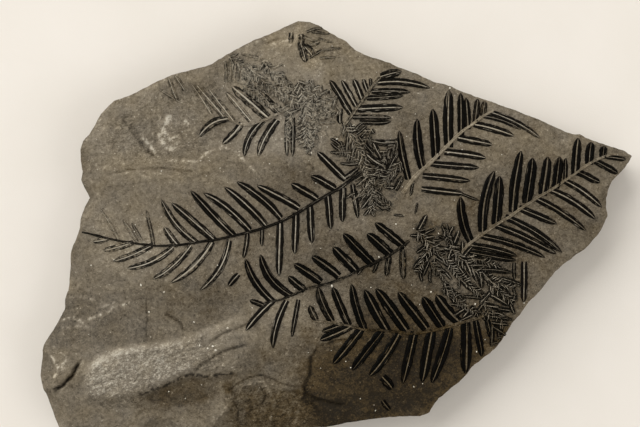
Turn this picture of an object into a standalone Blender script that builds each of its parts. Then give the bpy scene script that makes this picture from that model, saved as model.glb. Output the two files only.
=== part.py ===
# A plate of grey-brown shale with the pressed leaves of a fern fused to its face, lying on its back.
import random

import bpy
import bmesh
from mathutils import Vector
from mathutils.bvhtree import BVHTree

# Driving sizes, in metres
PLATE_LENGTH = 0.2372
FACE_HEIGHT = 0.0180
LEAF_RISE = 0.0006
LEAF_HALF_WIDTH = 0.0016
STEM_RISE = 0.0007
STEM_WIDTH = 0.0016
LEAF_SINK = 0.00012
LEAST_HALF_WIDTH = 0.00012
BACK_INSET = 0.0022
SIDE_ROUGHNESS = 0.0009
SIDE_LEVELS = (0.30, 0.72)
ROUGH_SEED = 11

# The face is drawn on squares, counted from the drawing's upper left corner
LENGTH_SQUARES = 593
DRAWING_MIDDLE = (335.5, 233.5)
SQUARE = PLATE_LENGTH / LENGTH_SQUARES

# The rim, in squares across and down, clockwise from the top
OUTLINE = [
    (298, 20), (310, 22), (320, 26), (330, 32), (344, 40), (357, 51), (368, 56), (380, 60), (390, 63),
    (398, 67), (410, 71), (431, 80), (440, 83), (451, 86), (461, 91), (480, 98), (500, 105), (520, 112),
    (540, 120), (560, 129), (573, 134), (580, 134), (586, 138), (600, 143), (616, 148), (625, 151),
    (632, 156), (629, 162), (625, 168), (619, 174), (612, 181), (609, 189), (607, 198), (607, 208),
    (608, 216), (605, 224), (600, 233), (592, 242), (585, 249), (575, 256), (564, 264), (555, 272),
    (547, 282), (540, 291), (531, 300), (526, 306), (519, 316), (512, 323), (507, 331), (502, 340),
    (495, 349), (485, 357), (475, 365), (467, 374), (460, 382), (452, 388), (445, 394), (439, 399),
    (433, 408), (430, 413), (420, 417), (400, 417), (380, 419), (357, 422), (330, 427), (300, 430),
    (262, 432), (225, 437), (190, 438), (150, 443), (112, 444), (85, 447), (70, 443), (58, 427),
    (54, 418), (50, 408), (46, 394), (41, 384), (39, 376), (41, 359), (44, 344), (51, 333), (59, 319),
    (65, 308), (65, 300), (68, 290), (69, 273), (70, 254), (74, 243), (80, 228), (80, 220), (84, 207),
    (89, 198), (86, 191), (81, 180), (82, 171), (80, 160), (80, 150), (83, 141), (90, 132), (100, 114),
    (114, 101), (131, 94), (151, 84), (171, 75), (192, 69), (212, 64), (226, 55), (243, 45), (263, 36),
    (282, 27),
]

# Stems, in squares across and down.
# Leaves: across and down at the stem, across and down at the tip, bow to the right, width.
LONG_STEM = [
    (362, 171), (347, 183), (337, 190), (327, 195), (307, 207), (296, 214), (280, 222), (261, 229),
    (241, 234), (220, 239), (199, 242), (180, 245), (156, 246), (139, 244), (120, 241), (106, 238),
    (91, 234), (81, 232),
]
LONG_UP = [
    (346, 177, 359, 168, 0, 5), (344, 178, 317, 152, 0, 8), (333, 188, 311, 176, 0.5, 8),
    (315, 198, 291, 184, 0.5, 8), (297, 207, 257, 186, 1, 8), (279, 217, 237, 182, 3, 8),
    (264, 224, 225, 187, 1.5, 8), (248, 229, 204, 193, 2.5, 8), (232, 234, 191, 191, -1, 8),
    (213, 239, 172, 203, 0, 8), (195, 241, 161, 200, -4, 7), (177, 244, 164, 227, -1, 7),
    (153, 243, 146, 210, 0.5, 4), (141, 239, 132, 223, 0, 3), (136, 240, 123, 220, 0, 4),
    (117, 237, 101, 209, 0, 4),
]
LONG_DOWN = [
    (353, 187, 358, 218, 0, 6), (343, 190, 342, 222, 0, 7.5), (328, 197, 331, 229, 0, 7.5),
    (310, 207, 312, 243, 0, 7.5), (296, 215, 295, 254, 0, 7.5), (280, 224, 279, 276, 0, 7.5),
    (262, 231, 262, 246, 0, 4), (247, 236, 243, 258, -1, 5), (228, 242, 200, 290, -6.4, 7),
    (211, 243, 171, 283, -4.2, 7.5), (189, 247, 153, 279, -3.5, 7.5), (171, 248, 127, 268, -4.5, 7),
    (150, 246, 113, 261, -1.6, 6.5), (131, 243, 103, 250, -1, 6), (106, 239, 93, 242, -0.5, 5),
]
MIDDLE_STEM = [
    (410, 240), (396, 251), (386, 257), (374, 263), (360, 269), (350, 275), (330, 283), (305, 289),
    (295, 294), (280, 300), (272, 301), (261, 305),
]
MIDDLE_UP = [
    (403, 246, 375, 223, 0.5, 8), (390, 254, 367, 234, 0.5, 9), (372, 263, 343, 234, 0, 9),
    (355, 270, 333, 247, 0, 9), (337, 275, 312, 256, 0.5, 8), (319, 281, 294, 264, 0.5, 8),
    (303, 289, 288, 277, 0, 7), (290, 294, 260, 255, -6, 8), (272, 300, 245, 259, -4, 7),
    (262, 305, 250, 300, 0, 5),
]
MIDDLE_DOWN = [
    (403, 252, 403, 279, 0, 7), (389, 259, 386, 276, 0, 6), (377, 264, 373, 273, 0, 4),
    (362, 269, 357, 275, 0, 3), (298, 302, 292, 337, 0, 5), (286, 303, 273, 348, 3, 7),
    (272, 302, 246, 330, 1, 7),
]
LOWER_STEM = [
    (486, 315), (472, 320), (460, 323), (450, 326), (441, 329), (430, 331), (420, 333), (410, 334),
    (401, 332), (390, 331), (380, 330), (365, 330), (350, 326), (340, 324), (327, 322), (311, 321),
]
LOWER_UP = [
    (457, 320, 436, 295, -1.5, 9), (441, 325, 423, 297, -0.5, 9), (425, 327, 398, 292, 0, 9),
    (405, 329, 376, 289, 0, 9.5), (386, 329, 365, 290, -1, 9), (364, 328, 351, 284, -1.5, 7),
    (348, 323, 333, 287, -1, 7), (331, 319, 318, 287, -2, 7.5), (315, 318, 309, 306, 0, 6),
]
LOWER_DOWN = [
    (487, 320, 491, 338, 0, 5), (476, 323, 482, 357, 0, 6), (466, 324, 466, 374, 0, 9.5),
    (449, 330, 432, 383, -1, 8.5), (431, 333, 422, 382, 0, 9), (414, 334, 403, 384, 0, 8),
    (397, 336, 369, 376, -2, 8), (380, 334, 352, 370, 0, 8), (360, 331, 333, 364, 0, 8),
    (349, 327, 320, 340, -0.5, 7), (340, 325, 322, 332, 0, 5),
]
UPPER_STEM = [
    (381, 77), (376, 82), (371, 88), (366, 96), (362, 101), (357, 108), (352, 115), (346, 123),
    (343, 127),
]
UPPER_UP = [
    (380, 83, 430, 87.5, -3, 7), (374, 91.5, 410, 92, -0.5, 6), (369, 98, 403, 96, 0, 6),
    (360, 109, 403, 107, 0, 8), (355, 117, 391, 117.5, 0, 5.5), (362, 122, 391, 121.5, 1, 5),
]
UPPER_DOWN = [
    (350, 112, 330, 80, 0, 7), (355, 104, 342, 80, 0, 6), (361, 97, 354, 79, 0, 6.5),
    (367, 90, 363, 79, 0, 5), (371, 85, 370, 78, 0, 3.5), (383, 76, 401, 71, 0, 8),
    (340, 111, 340, 124, 0, 6),
]
UPPER_RIGHT_STEM = [
    (495, 110), (488, 113), (480, 118), (473, 124), (465, 129), (457, 136), (450, 143), (443, 150),
    (436, 157), (429, 164), (422, 170), (414, 178), (407, 187), (402, 194),
]
UPPER_RIGHT_UP = [
    (408, 177, 399, 131, -1, 7), (423, 168, 417, 119, -2, 8.5), (436, 157, 433, 109, 0, 9),
    (449, 145, 449, 90, -1, 9.5), (461, 133, 461, 93, 0, 7), (468, 127, 466, 98, 0, 6),
    (475, 121, 478, 99, 0, 6), (483, 114, 485, 101, 0, 6),
]
UPPER_RIGHT_DOWN = [
    (492, 113, 540, 138, -2.5, 6), (486, 117, 521, 129, -2, 5), (476, 125, 514, 135.5, -1, 7.5),
    (460, 138, 492, 145, 0, 7.5), (447, 152, 486, 158, -0.5, 7.5), (433, 164, 479, 168, 0, 7),
    (425, 176, 470, 180.5, 0, 7), (424, 189, 464, 193.5, 0.5, 7), (462, 194, 478, 200, 0, 3),
]
FAR_RIGHT_STEM = [
    (628, 155), (612, 154), (600, 158), (590, 163), (580, 170), (572, 176), (565, 180), (557, 186),
    (549, 191), (540, 196), (531, 202), (520, 209), (510, 217), (500, 222), (490, 229), (480, 236),
    (470, 243), (463, 250), (460, 256),
]
FAR_RIGHT_UP = [
    (471, 241, 461, 197, -3.5, 8.5), (483, 230, 494, 171, -3.5, 9), (496, 222, 500, 176, 0, 9),
    (513, 210, 521, 151, -1.5, 9), (527, 201, 533, 158, 0, 9.5), (543, 193, 548, 157, 0, 9),
    (556, 186, 560, 157, 0, 8.5), (565, 179, 566, 158, 0, 4), (575, 173, 578, 138, 0, 8),
    (589, 162, 591, 142, 0, 8), (603, 156, 604, 146, 0, 7),
]
FAR_RIGHT_DOWN = [
    (608, 157, 626, 159, 0, 5), (597, 162, 618, 173, 0, 7), (578, 172, 600, 182.5, 0, 7),
    (566, 182, 602, 207, -2, 7), (551, 191, 596, 219, -3, 7.5), (538, 200, 586, 231, -2.5, 7),
    (521, 209, 557, 223.5, 0, 7.5), (507, 218, 562, 252, -2.8, 7.5), (497, 226, 556, 254, -2, 7.5),
    (484, 237, 545, 257, -2.3, 7), (474, 246, 517, 255.5, -1, 7), (470, 252, 516, 260, 0.5, 6.5),
]
UPPER_LEFT_STEM = [
    (290, 107), (281, 112), (272, 117), (262, 121), (250, 125), (240, 125), (232, 121), (227, 118),
]
UPPER_LEFT_UP = [
    (278, 112, 250, 84, 0, 8), (266, 116, 232, 86, 0, 10), (249, 119, 226, 92, 0, 6),
    (232, 119, 208, 88, 0, 6), (223, 116, 196, 84, 0, 6), (210, 112, 192, 84, 0, 5),
    (183, 88, 175, 75, 0, 5), (176, 98, 168, 78, 0, 5), (178, 101, 157, 88, 0, 3),
]
UPPER_LEFT_DOWN = [
    (293, 120, 293, 156, 0, 5), (287, 121, 287, 156, 0, 5), (276, 122, 258, 156, 2, 8.5),
    (262, 123, 244, 156, 4, 7), (240, 125, 223, 144, -1, 7), (226, 120, 199, 136, 4, 8),
]
LOOSE = [
    (237, 276, 228, 286, 0, 6), (524, 264, 524, 303, 0, 7), (514, 265, 514, 280, 0, 4),
    (384, 379, 393, 389, 0, 9), (417, 205, 415, 214, 0, 2), (396, 215, 404, 216, 0, 2.5),
]
CROWN = [
    (303, 83, 312, 90, 0, 3.5), (303, 88, 318, 98, 0, 4), (303, 98, 311, 102, 0, 3.5),
    (304, 105, 318, 105, 0, 4), (306, 110, 320, 109, 0, 3.5), (306, 115, 315, 117, 0, 4),
    (316, 116, 328, 118, 0, 4), (317, 123, 336, 122, 0, 3.5), (297, 110, 284, 116, 0, 4),
    (303, 115, 297, 123, 0, 4.5), (304, 122, 296, 129, 0, 4), (304, 128, 296, 134, 0, 3.5),
    (304, 134, 295, 140, 0, 4), (306, 139, 298, 145, 0, 3.5), (324, 108, 324, 93, 0, 6),
    (333, 109, 333, 119, 0, 3.5), (336, 98, 335, 107, 0, 3), (309, 127, 313, 140, 0, 4),
    (307, 143, 310, 156, 0, 4), (293, 98, 293, 88, 0, 4), (282, 108, 292, 103, 0, 4),
    (297, 96, 286, 88, 0, 5), (296, 90, 277, 84, 0, 5), (299, 104, 280, 96, 0, 4.5),
    (300, 90, 298, 81, 0, 3.5), (286, 85, 273, 90, 0, 5), (312, 128, 321, 131, 0, 3),
    (226, 80, 226, 61, 0, 3), (230, 80, 230, 59, 0, 3), (234, 80, 235, 58, 0, 3.5),
    (238, 79, 239, 60, 0, 3), (243, 78, 242, 62, 0, 3), (256, 74, 243, 59, 0, 3.5),
    (252, 80, 246, 66, 0, 3), (256, 57, 241, 54, 0, 3), (264, 92, 252, 80, 0, 4),
]
CENTRE = [
    (352, 134, 350, 122, 0, 3.5), (356, 146, 352, 134, 0, 3.5), (362, 154, 356, 144, 0, 4),
    (371, 151, 358, 136, 0, 6), (360, 130, 353, 130, 0, 3), (353, 131, 364, 122, 0, 3.5),
    (358, 133, 367, 126, 0, 3.5), (362, 136, 369, 129, 0, 3.5), (366, 140, 369, 134, 0, 3),
    (345, 130, 343, 122, 0, 4), (347, 149, 347, 135, 0, 4), (339, 144, 331, 138, 0, 4),
    (338, 149, 331, 143, 0, 4), (346, 153, 330, 152, 0, 4), (344, 150, 340, 141, 0, 4),
    (360, 162, 340, 163, -2, 3.5), (352, 158, 354, 146, 0, 4), (396, 141, 371, 140, -2.5, 6.5),
    (384, 166, 366, 154, -1, 8), (380, 156, 372, 141, 0, 6), (385, 166, 383, 150, 0, 6),
    (389, 169, 397, 153, 0, 6), (391, 160, 393, 147, 0, 4), (391, 179, 400, 165, 0, 6),
    (396, 188, 403, 176, 0, 6), (386, 177, 368, 174, 0, 7), (386, 171, 372, 168, 0, 4),
    (396, 188, 384, 187, 0, 4), (366, 168, 366, 156, 0, 5), (378, 165, 371, 162, 0, 4),
    (365, 172, 361, 160, 0, 4), (368, 185, 357, 198, 0, 5), (364, 180, 356, 186, 0, 4),
    (362, 176, 354, 181, 0, 4), (353, 194, 346, 198, 0, 4), (372, 195, 361, 209, 0, 5),
    (374, 203, 364, 216, 0, 4), (370, 190, 359, 203, 0, 4), (371, 188, 383, 195, 0, 4),
    (374, 197, 390, 211, 0, 4.5), (375, 203, 384, 210, 0, 3.5), (374, 206, 374, 217, 0, 3.5),
    (370, 181, 377, 187, 0, 3.5), (413, 183, 410, 196, 0, 3),
]
RIGHT = [
    (419, 229, 427, 215, 0, 6), (422, 235, 435, 228, 0, 4), (421, 236, 410, 235, 0, 4),
    (431, 241, 442, 240, 0, 4), (427, 245, 416, 253, 0, 5), (434, 247, 447, 249, 0, 5),
    (447, 249, 460, 252, 0, 5), (425, 254, 413, 269, 0, 5), (431, 254, 425, 263, 0, 4),
    (436, 254, 452, 266, 0, 4), (438, 259, 457, 272, 0, 4), (441, 268, 452, 280, 0, 4),
    (434, 262, 432, 272, 0, 4), (437, 268, 437, 277, 0, 4), (428, 264, 423, 276, 0, 4),
    (420, 272, 422, 282, 0, 3.5), (430, 273, 430, 283, 0, 3.5), (446, 237, 442, 225, 0, 4),
    (447, 236, 447, 224, 0, 4), (448, 237, 453, 226, 0, 4), (448, 239, 438, 236, 0, 3.5),
    (453, 246, 459, 230, 0, 6), (453, 246, 449, 233, 0, 5), (462, 252, 463, 241, 0, 5),
    (458, 252, 447, 258, 0, 5), (464, 256, 472, 247, 0, 5), (463, 262, 454, 258, 0, 4),
    (468, 260, 489, 259, 0, 6), (474, 265, 493, 266, 0, 6), (483, 270, 511, 273, -1.5, 6),
    (492, 278, 521, 286, 0, 5), (504, 279, 521, 284, 0, 5), (466, 262, 471, 273, 0, 6),
    (472, 268, 477, 281, 0, 5), (480, 273, 482, 288, 0, 6), (484, 274, 496, 287, 0, 7),
    (495, 284, 511, 298, 0, 7), (461, 270, 471, 284, 0, 6), (462, 281, 473, 291, 0, 5),
    (470, 284, 458, 278, 0, 4), (447, 290, 444, 282, 0, 5), (452, 296, 441, 289, 0, 5),
    (452, 290, 456, 299, 0, 4), (464, 306, 449, 304, 0, 4), (463, 300, 456, 293, 0, 4),
    (480, 298, 463, 296, 0, 4), (464, 309, 453, 316, 0, 5), (472, 308, 462, 318, 0, 5),
    (482, 305, 474, 317, 0, 5), (482, 301, 491, 291, 0, 5), (484, 305, 500, 308, 0, 6),
    (493, 296, 509, 305, 0, 6), (500, 309, 511, 311, 0, 5), (489, 316, 512, 319, 0, 5),
    (494, 323, 508, 325, 0, 4.5), (495, 328, 506, 335, 0, 5), (492, 329, 492, 347, 0, 5),
    (498, 331, 500, 341, 0, 4), (513, 300, 516, 293, 0, 5), (511, 306, 514, 314, 0, 5),
    (484, 318, 478, 308, 0, 4), (470, 316, 459, 321, 0, 4), (455, 302, 449, 296, 0, 4),
]
TOP = [
    (301, 44, 306, 62, 0, 8), (291, 34, 291, 43, 0, 5), (301, 36, 302, 44, 0, 6),
    (305, 47, 313, 56, 0, 9), (312, 57, 342, 48, -3, 3.5), (309, 31, 322, 27, 0, 3),
    (312, 44, 320, 42, 0, 5), (322, 58, 336, 57, 0, 3), (314, 32, 330, 33, 0, 3),
    (320, 39, 334, 42, 0, 3), (304, 37, 314, 41, 0, 3.5), (275, 67, 283, 64, 0, 3),
]
STEMS = [LONG_STEM, MIDDLE_STEM, LOWER_STEM, UPPER_STEM, UPPER_RIGHT_STEM, FAR_RIGHT_STEM, UPPER_LEFT_STEM]
FROND_LEAVES = (
    LONG_UP + LONG_DOWN + MIDDLE_UP + MIDDLE_DOWN + LOWER_UP + LOWER_DOWN + UPPER_UP + UPPER_DOWN
    + UPPER_RIGHT_UP + UPPER_RIGHT_DOWN + FAR_RIGHT_UP + FAR_RIGHT_DOWN + UPPER_LEFT_UP + UPPER_LEFT_DOWN
)
SMALL_LEAVES = LOOSE + CROWN + CENTRE + RIGHT + TOP

# Raised and sunk areas of the face, in squares across and down
MOUND = [
    (84, 372), (96, 360), (112, 352), (135, 345), (160, 343), (190, 335), (215, 325), (238, 314),
    (256, 318), (262, 340), (250, 366), (232, 371), (205, 375), (190, 373), (165, 385), (135, 397),
    (110, 402), (82, 402),
]
MOUND_RISE = 0.0020
MOUND_FADE = 0.0102
MOUND_EDGE = 0.0030
FLAKE = [(44, 352), (56, 347), (68, 352), (78, 361), (72, 374), (62, 386), (52, 389), (45, 380)]
FLAKE_RISE = 0.0010
FLAKE_EDGE = 0.0008
LOWER_PLANE = [
    (321, 343), (313, 351), (309, 360), (309, 372), (305, 383), (290, 390), (272, 385), (256, 370),
    (238, 374), (228, 388), (236, 402), (216, 420), (212, 470), (470, 470), (540, 330), (330, 330),
]
PLANE_TOP = 336
PLANE_SLOPE = 0.055
RECESS = [(140, 397), (165, 387), (190, 376), (205, 378), (236, 374), (230, 392), (206, 404), (160, 408)]
RECESS_DROP = 0.0012

# Facets broken off the rim: squares across and down, half length along the rim, depth, both in metres
CHIPS = [
    (281, 28, 0.0120, 0.0040), (240, 47, 0.0080, 0.0016), (196, 68, 0.0100, 0.0018),
    (141, 89, 0.0120, 0.0024), (95, 123, 0.0090, 0.0022), (81, 165, 0.0080, 0.0016),
    (86, 203, 0.0070, 0.0020), (70, 268, 0.0130, 0.0022), (58, 322, 0.0080, 0.0020),
    (40, 368, 0.0090, 0.0030), (52, 410, 0.0100, 0.0026), (98, 446, 0.0110, 0.0030),
    (170, 441, 0.0140, 0.0034), (240, 434, 0.0120, 0.0044), (310, 429, 0.0100, 0.0030),
    (378, 419, 0.0120, 0.0030), (434, 407, 0.0070, 0.0024), (478, 362, 0.0090, 0.0016),
    (596, 238, 0.0120, 0.0018), (608, 200, 0.0070, 0.0014), (560, 129, 0.0090, 0.0014),
    (430, 79, 0.0080, 0.0014), (334, 35, 0.0090, 0.0020),
]


def place(across, down, height=0.0):
    """The point of the plate at these squares."""
    return Vector(((across - DRAWING_MIDDLE[0]) * SQUARE, (DRAWING_MIDDLE[1] - down) * SQUARE, height))


def clear_scene():
    for obj in list(bpy.data.objects):
        bpy.data.objects.remove(obj, do_unlink=True)


def new_collection(name):
    collection = bpy.data.collections.new(name)
    bpy.context.scene.collection.children.link(collection)
    return collection


def shale_material():
    material = bpy.data.materials.new("shale")
    material.use_nodes = True
    shader = material.node_tree.nodes["Principled BSDF"]
    shader.inputs["Base Color"].default_value = (0.150, 0.127, 0.092, 1.0)
    shader.inputs["Roughness"].default_value = 0.85
    return material


def mesh_of(curve, name):
    """The curve's solid as a mesh object of its own, with its caps welded on."""
    mesh = bpy.data.meshes.new_from_object(curve)
    bpy.data.objects.remove(curve, do_unlink=True)
    shape = bmesh.new()
    shape.from_mesh(mesh)
    bmesh.ops.remove_doubles(shape, verts=shape.verts, dist=1e-6)
    bmesh.ops.recalc_face_normals(shape, faces=shape.faces)
    shape.to_mesh(mesh)
    shape.free()
    return bpy.data.objects.new(name, mesh)


def prism(name, points, low, high):
    """A closed outline filled and extruded from one height to the other."""
    curve = bpy.data.curves.new(name, "CURVE")
    curve.dimensions = "2D"
    curve.fill_mode = "BOTH"
    curve.extrude = (high - low) / 2
    spline = curve.splines.new("POLY")
    spline.points.add(len(points) - 1)
    for point, (across, down) in zip(spline.points, points):
        x, y, _ = place(across, down)
        point.co = (x, y, 0.0, 1.0)
    spline.use_cyclic_u = True
    obj = bpy.data.objects.new(name, curve)
    bpy.context.scene.collection.objects.link(obj)
    solid = mesh_of(obj, name)
    for vertex in solid.data.vertices:
        vertex.co.z += (high + low) / 2
    return solid


def boolean(target, other, operation, use_self=False):
    modifier = target.modifiers.new(other.name, "BOOLEAN")
    modifier.operation = operation
    modifier.solver = "EXACT"
    modifier.use_self = use_self
    modifier.object = other
    return modifier


def helper(obj, collection):
    obj.hide_render = True
    obj.display_type = "WIRE"
    collection.objects.link(obj)
    return obj


def rough_slab(name):
    """The plate as broken from the rock: flat back, uneven sides that draw in towards it."""
    slab = prism(name, OUTLINE, 0.0, FACE_HEIGHT)
    rng = random.Random(ROUGH_SEED)
    shape = bmesh.new()
    shape.from_mesh(slab.data)
    for share in SIDE_LEVELS:
        everything = shape.verts[:] + shape.edges[:] + shape.faces[:]
        level = Vector((0.0, 0.0, FACE_HEIGHT * share))
        bmesh.ops.bisect_plane(shape, geom=everything, plane_co=level, plane_no=Vector((0.0, 0.0, 1.0)))
    shape.normal_update()
    moves = {}
    for vertex in shape.verts:
        out = sum((face.normal for face in vertex.link_faces if abs(face.normal.z) < 0.5), Vector())
        out.z = 0.0
        out.normalize()
        share = vertex.co.z / FACE_HEIGHT
        if share > 0.99:
            continue
        inward = BACK_INSET * (1.0 - min(share / SIDE_LEVELS[1], 1.0)) ** 2
        if share < 0.5:
            inward += rng.uniform(0.0, 2.0) * SIDE_ROUGHNESS
        lift = 0.0 if share < 0.01 else rng.uniform(-2.0, 2.0) * SIDE_ROUGHNESS
        moves[vertex] = Vector((0.0, 0.0, lift)) - out * inward
    for vertex, move in moves.items():
        vertex.co += move
    bmesh.ops.triangulate(shape, faces=shape.faces[:])
    bmesh.ops.recalc_face_normals(shape, faces=shape.faces)
    shape.to_mesh(slab.data)
    shape.free()
    return slab


def raised(name, points, rise, fade, edge):
    """A low plateau on the face with sloping edges, lower by its fade towards the right."""
    solid = prism(name, points, FACE_HEIGHT - 0.004, FACE_HEIGHT + rise)
    left = min(vertex.co.x for vertex in solid.data.vertices)
    for vertex in solid.data.vertices:
        if vertex.co.z > FACE_HEIGHT:
            vertex.co.z -= fade * (vertex.co.x - left)
    bevel = solid.modifiers.new("sloping edge", "BEVEL")
    bevel.segments = 1
    bevel.width = edge
    bevel.limit_method = "ANGLE"
    return solid


def sunk(name, points, drop, slope, top):
    """A cutter whose floor lies below the face and falls away below its top row of squares."""
    solid = prism(name, points, FACE_HEIGHT - drop, FACE_HEIGHT + 0.010)
    for vertex in solid.data.vertices:
        if vertex.co.z < FACE_HEIGHT + 0.005:
            vertex.co.z += slope * (vertex.co.y - place(0.0, top).y)
    return solid


def chip_cutters(collection):
    """Faceted lumps that scoop chips off the rim."""
    cutters = []
    for index, (across, down, reach, depth) in enumerate(CHIPS):
        bpy.ops.mesh.primitive_ico_sphere_add(subdivisions=2, radius=1.0)
        lump = bpy.context.active_object
        for holder in lump.users_collection:
            holder.objects.unlink(lump)
        lump.name = f"rim_chip_{index:02d}"
        rim = place(across, down, FACE_HEIGHT)
        out = Vector((rim.x, rim.y, 0.0)).normalized()
        along = Vector((out.y, -out.x, 0.0))
        rise = Vector((0.0, 0.0, 1.0))
        away = (out * 0.55 + rise * 0.83).normalized()
        centre = rim + away * (0.55 * reach - depth)
        for vertex in lump.data.vertices:
            x, y, z = vertex.co
            vertex.co = centre + (along * x + out * y * 0.8 + rise * z * 0.55) * reach
        cutters.append(helper(lump, collection))
    return cutters


def surface_height(tree, point):
    """The height of the stone's face under this point, or just over the face when it is off the plate."""
    hit = tree.ray_cast(Vector((point.x, point.y, 0.1)), Vector((0.0, 0.0, -1.0)))
    return hit[0].z if hit[0] else FACE_HEIGHT


def inside(tree, point):
    return tree.ray_cast(Vector((point.x, point.y, 0.1)), Vector((0.0, 0.0, -1.0)))[0] is not None


def ridge_curve(name, ways, rise_share):
    """Low four-sided ridges along the ways: lists of (point, half width)."""
    curve = bpy.data.curves.new(name, "CURVE")
    curve.dimensions = "3D"
    curve.twist_mode = "Z_UP"
    curve.bevel_depth = 1.0
    curve.bevel_resolution = 0
    curve.use_fill_caps = True
    for way in ways:
        spline = curve.splines.new("POLY")
        spline.points.add(len(way) - 1)
        for point, (co, half) in zip(spline.points, way):
            point.co = (co.x, co.y, co.z / rise_share, 1.0)
            point.radius = half
    obj = bpy.data.objects.new(name, curve)
    bpy.context.scene.collection.objects.link(obj)
    solid = mesh_of(obj, name)
    for vertex in solid.data.vertices:
        vertex.co.z *= rise_share
    return solid


def leaf_way(tree, leaf, shares, widths):
    """The middle line of one leaf, on the stone's face and sunk a little, with its half widths."""
    base_across, base_down, tip_across, tip_down, bow, width = leaf
    base = place(base_across, base_down)
    tip = place(tip_across, tip_down)
    chord = tip - base
    side = Vector((chord.y, -chord.x, 0.0)).normalized()
    way = []
    for share, wide in zip(shares, widths):
        point = base + chord * share + side * bow * SQUARE * 4.0 * share * (1.0 - share)
        if not inside(tree, point):
            break
        point.z = surface_height(tree, point) - LEAF_SINK
        way.append((point, max(0.5 * width * SQUARE * wide, LEAST_HALF_WIDTH)))
    return way


def leaves(tree, name, rows, shares, widths):
    ways = [leaf_way(tree, leaf, shares, widths) for leaf in rows]
    ways = [way for way in ways if len(way) > 2]
    return ridge_curve(name, ways, LEAF_RISE / LEAF_HALF_WIDTH)


def stems(tree, name):
    ways = []
    for stem in STEMS:
        way = []
        for index, (across, down) in enumerate(stem):
            point = place(across, down)
            share = index / (len(stem) - 1)
            point.z = surface_height(tree, point) - LEAF_SINK
            way.append((point, 0.5 * STEM_WIDTH * (1.0 - 0.45 * share)))
        ways.append(way)
    return ridge_curve(name, ways, STEM_RISE / (0.5 * STEM_WIDTH))


def evaluated_tree(obj):
    """The stone's surface so far, to lay the leaves on."""
    bpy.context.view_layer.update()
    graph = bpy.context.evaluated_depsgraph_get()
    return BVHTree.FromObject(obj, graph)


def main():
    clear_scene()
    plate = new_collection("fossil fern plate")
    cutters = new_collection("helpers")
    cutters.hide_render = True

    slab = rough_slab("fossil_slab")
    slab.data.materials.append(shale_material())
    plate.objects.link(slab)

    mound = raised("mound", MOUND, MOUND_RISE, MOUND_FADE, MOUND_EDGE)
    flake = raised("flake", FLAKE, FLAKE_RISE, 0.0, FLAKE_EDGE)
    for plateau in (mound, flake):
        boolean(slab, helper(plateau, cutters), "UNION")
    lower_plane = sunk("lower_plane", LOWER_PLANE, 0.0, PLANE_SLOPE, PLANE_TOP)
    recess = sunk("recess", RECESS, RECESS_DROP, 0.0, PLANE_TOP)
    for hollow in (lower_plane, recess):
        boolean(slab, helper(hollow, cutters), "DIFFERENCE")
    for cutter in chip_cutters(cutters):
        boolean(slab, cutter, "DIFFERENCE")

    tree = evaluated_tree(slab)
    big = leaves(tree, "frond_leaves", FROND_LEAVES, (0.0, 0.2, 0.5, 0.8, 1.0), (0.55, 0.95, 1.0, 0.75, 0.12))
    small = leaves(tree, "small_leaves", SMALL_LEAVES, (0.0, 0.5, 1.0), (0.5, 1.0, 0.15))
    for relief in (big, small, stems(tree, "stems")):
        boolean(slab, helper(relief, cutters), "UNION", use_self=True)


main()
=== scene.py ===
"""Looks of the fossil fern plate: weathered shale, black leaf films, stems, grit, and the studio around them.

The face is drawn on squares, counted across and down from the drawing's upper left corner, as in the part.
"""

import logging
import math
from dataclasses import dataclass
from enum import Enum

import bmesh
import bpy
import numpy as np
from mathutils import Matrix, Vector


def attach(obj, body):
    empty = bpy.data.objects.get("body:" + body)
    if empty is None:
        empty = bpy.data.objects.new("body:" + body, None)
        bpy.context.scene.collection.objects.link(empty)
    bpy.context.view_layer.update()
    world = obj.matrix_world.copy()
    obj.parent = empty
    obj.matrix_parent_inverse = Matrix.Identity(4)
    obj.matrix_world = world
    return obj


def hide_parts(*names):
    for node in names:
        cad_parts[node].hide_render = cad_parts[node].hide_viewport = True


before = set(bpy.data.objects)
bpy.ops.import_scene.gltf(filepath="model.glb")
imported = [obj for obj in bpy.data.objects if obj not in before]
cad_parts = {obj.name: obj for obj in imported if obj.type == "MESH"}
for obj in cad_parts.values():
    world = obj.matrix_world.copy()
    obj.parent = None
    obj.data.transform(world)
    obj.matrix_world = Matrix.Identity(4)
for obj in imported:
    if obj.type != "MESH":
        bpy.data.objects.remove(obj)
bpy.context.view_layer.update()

LOG = logging.getLogger("fossil_plate")

# Sizes shared with the part, in metres, and its drawing's, in squares
PLATE_LENGTH = 0.2372
LENGTH_SQUARES = 593
DRAWING_MIDDLE = (335.5, 233.5)
SQUARE = PLATE_LENGTH / LENGTH_SQUARES
FACE_HEIGHT = 0.0180

# The middle of the picture, in squares
PICTURE_MIDDLE = (320.0, 213.5)
PICTURE_WIDTH_SQUARES = 640

# Steps after which the unevenness repeats
GRAIN_STEPS = 128

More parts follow.
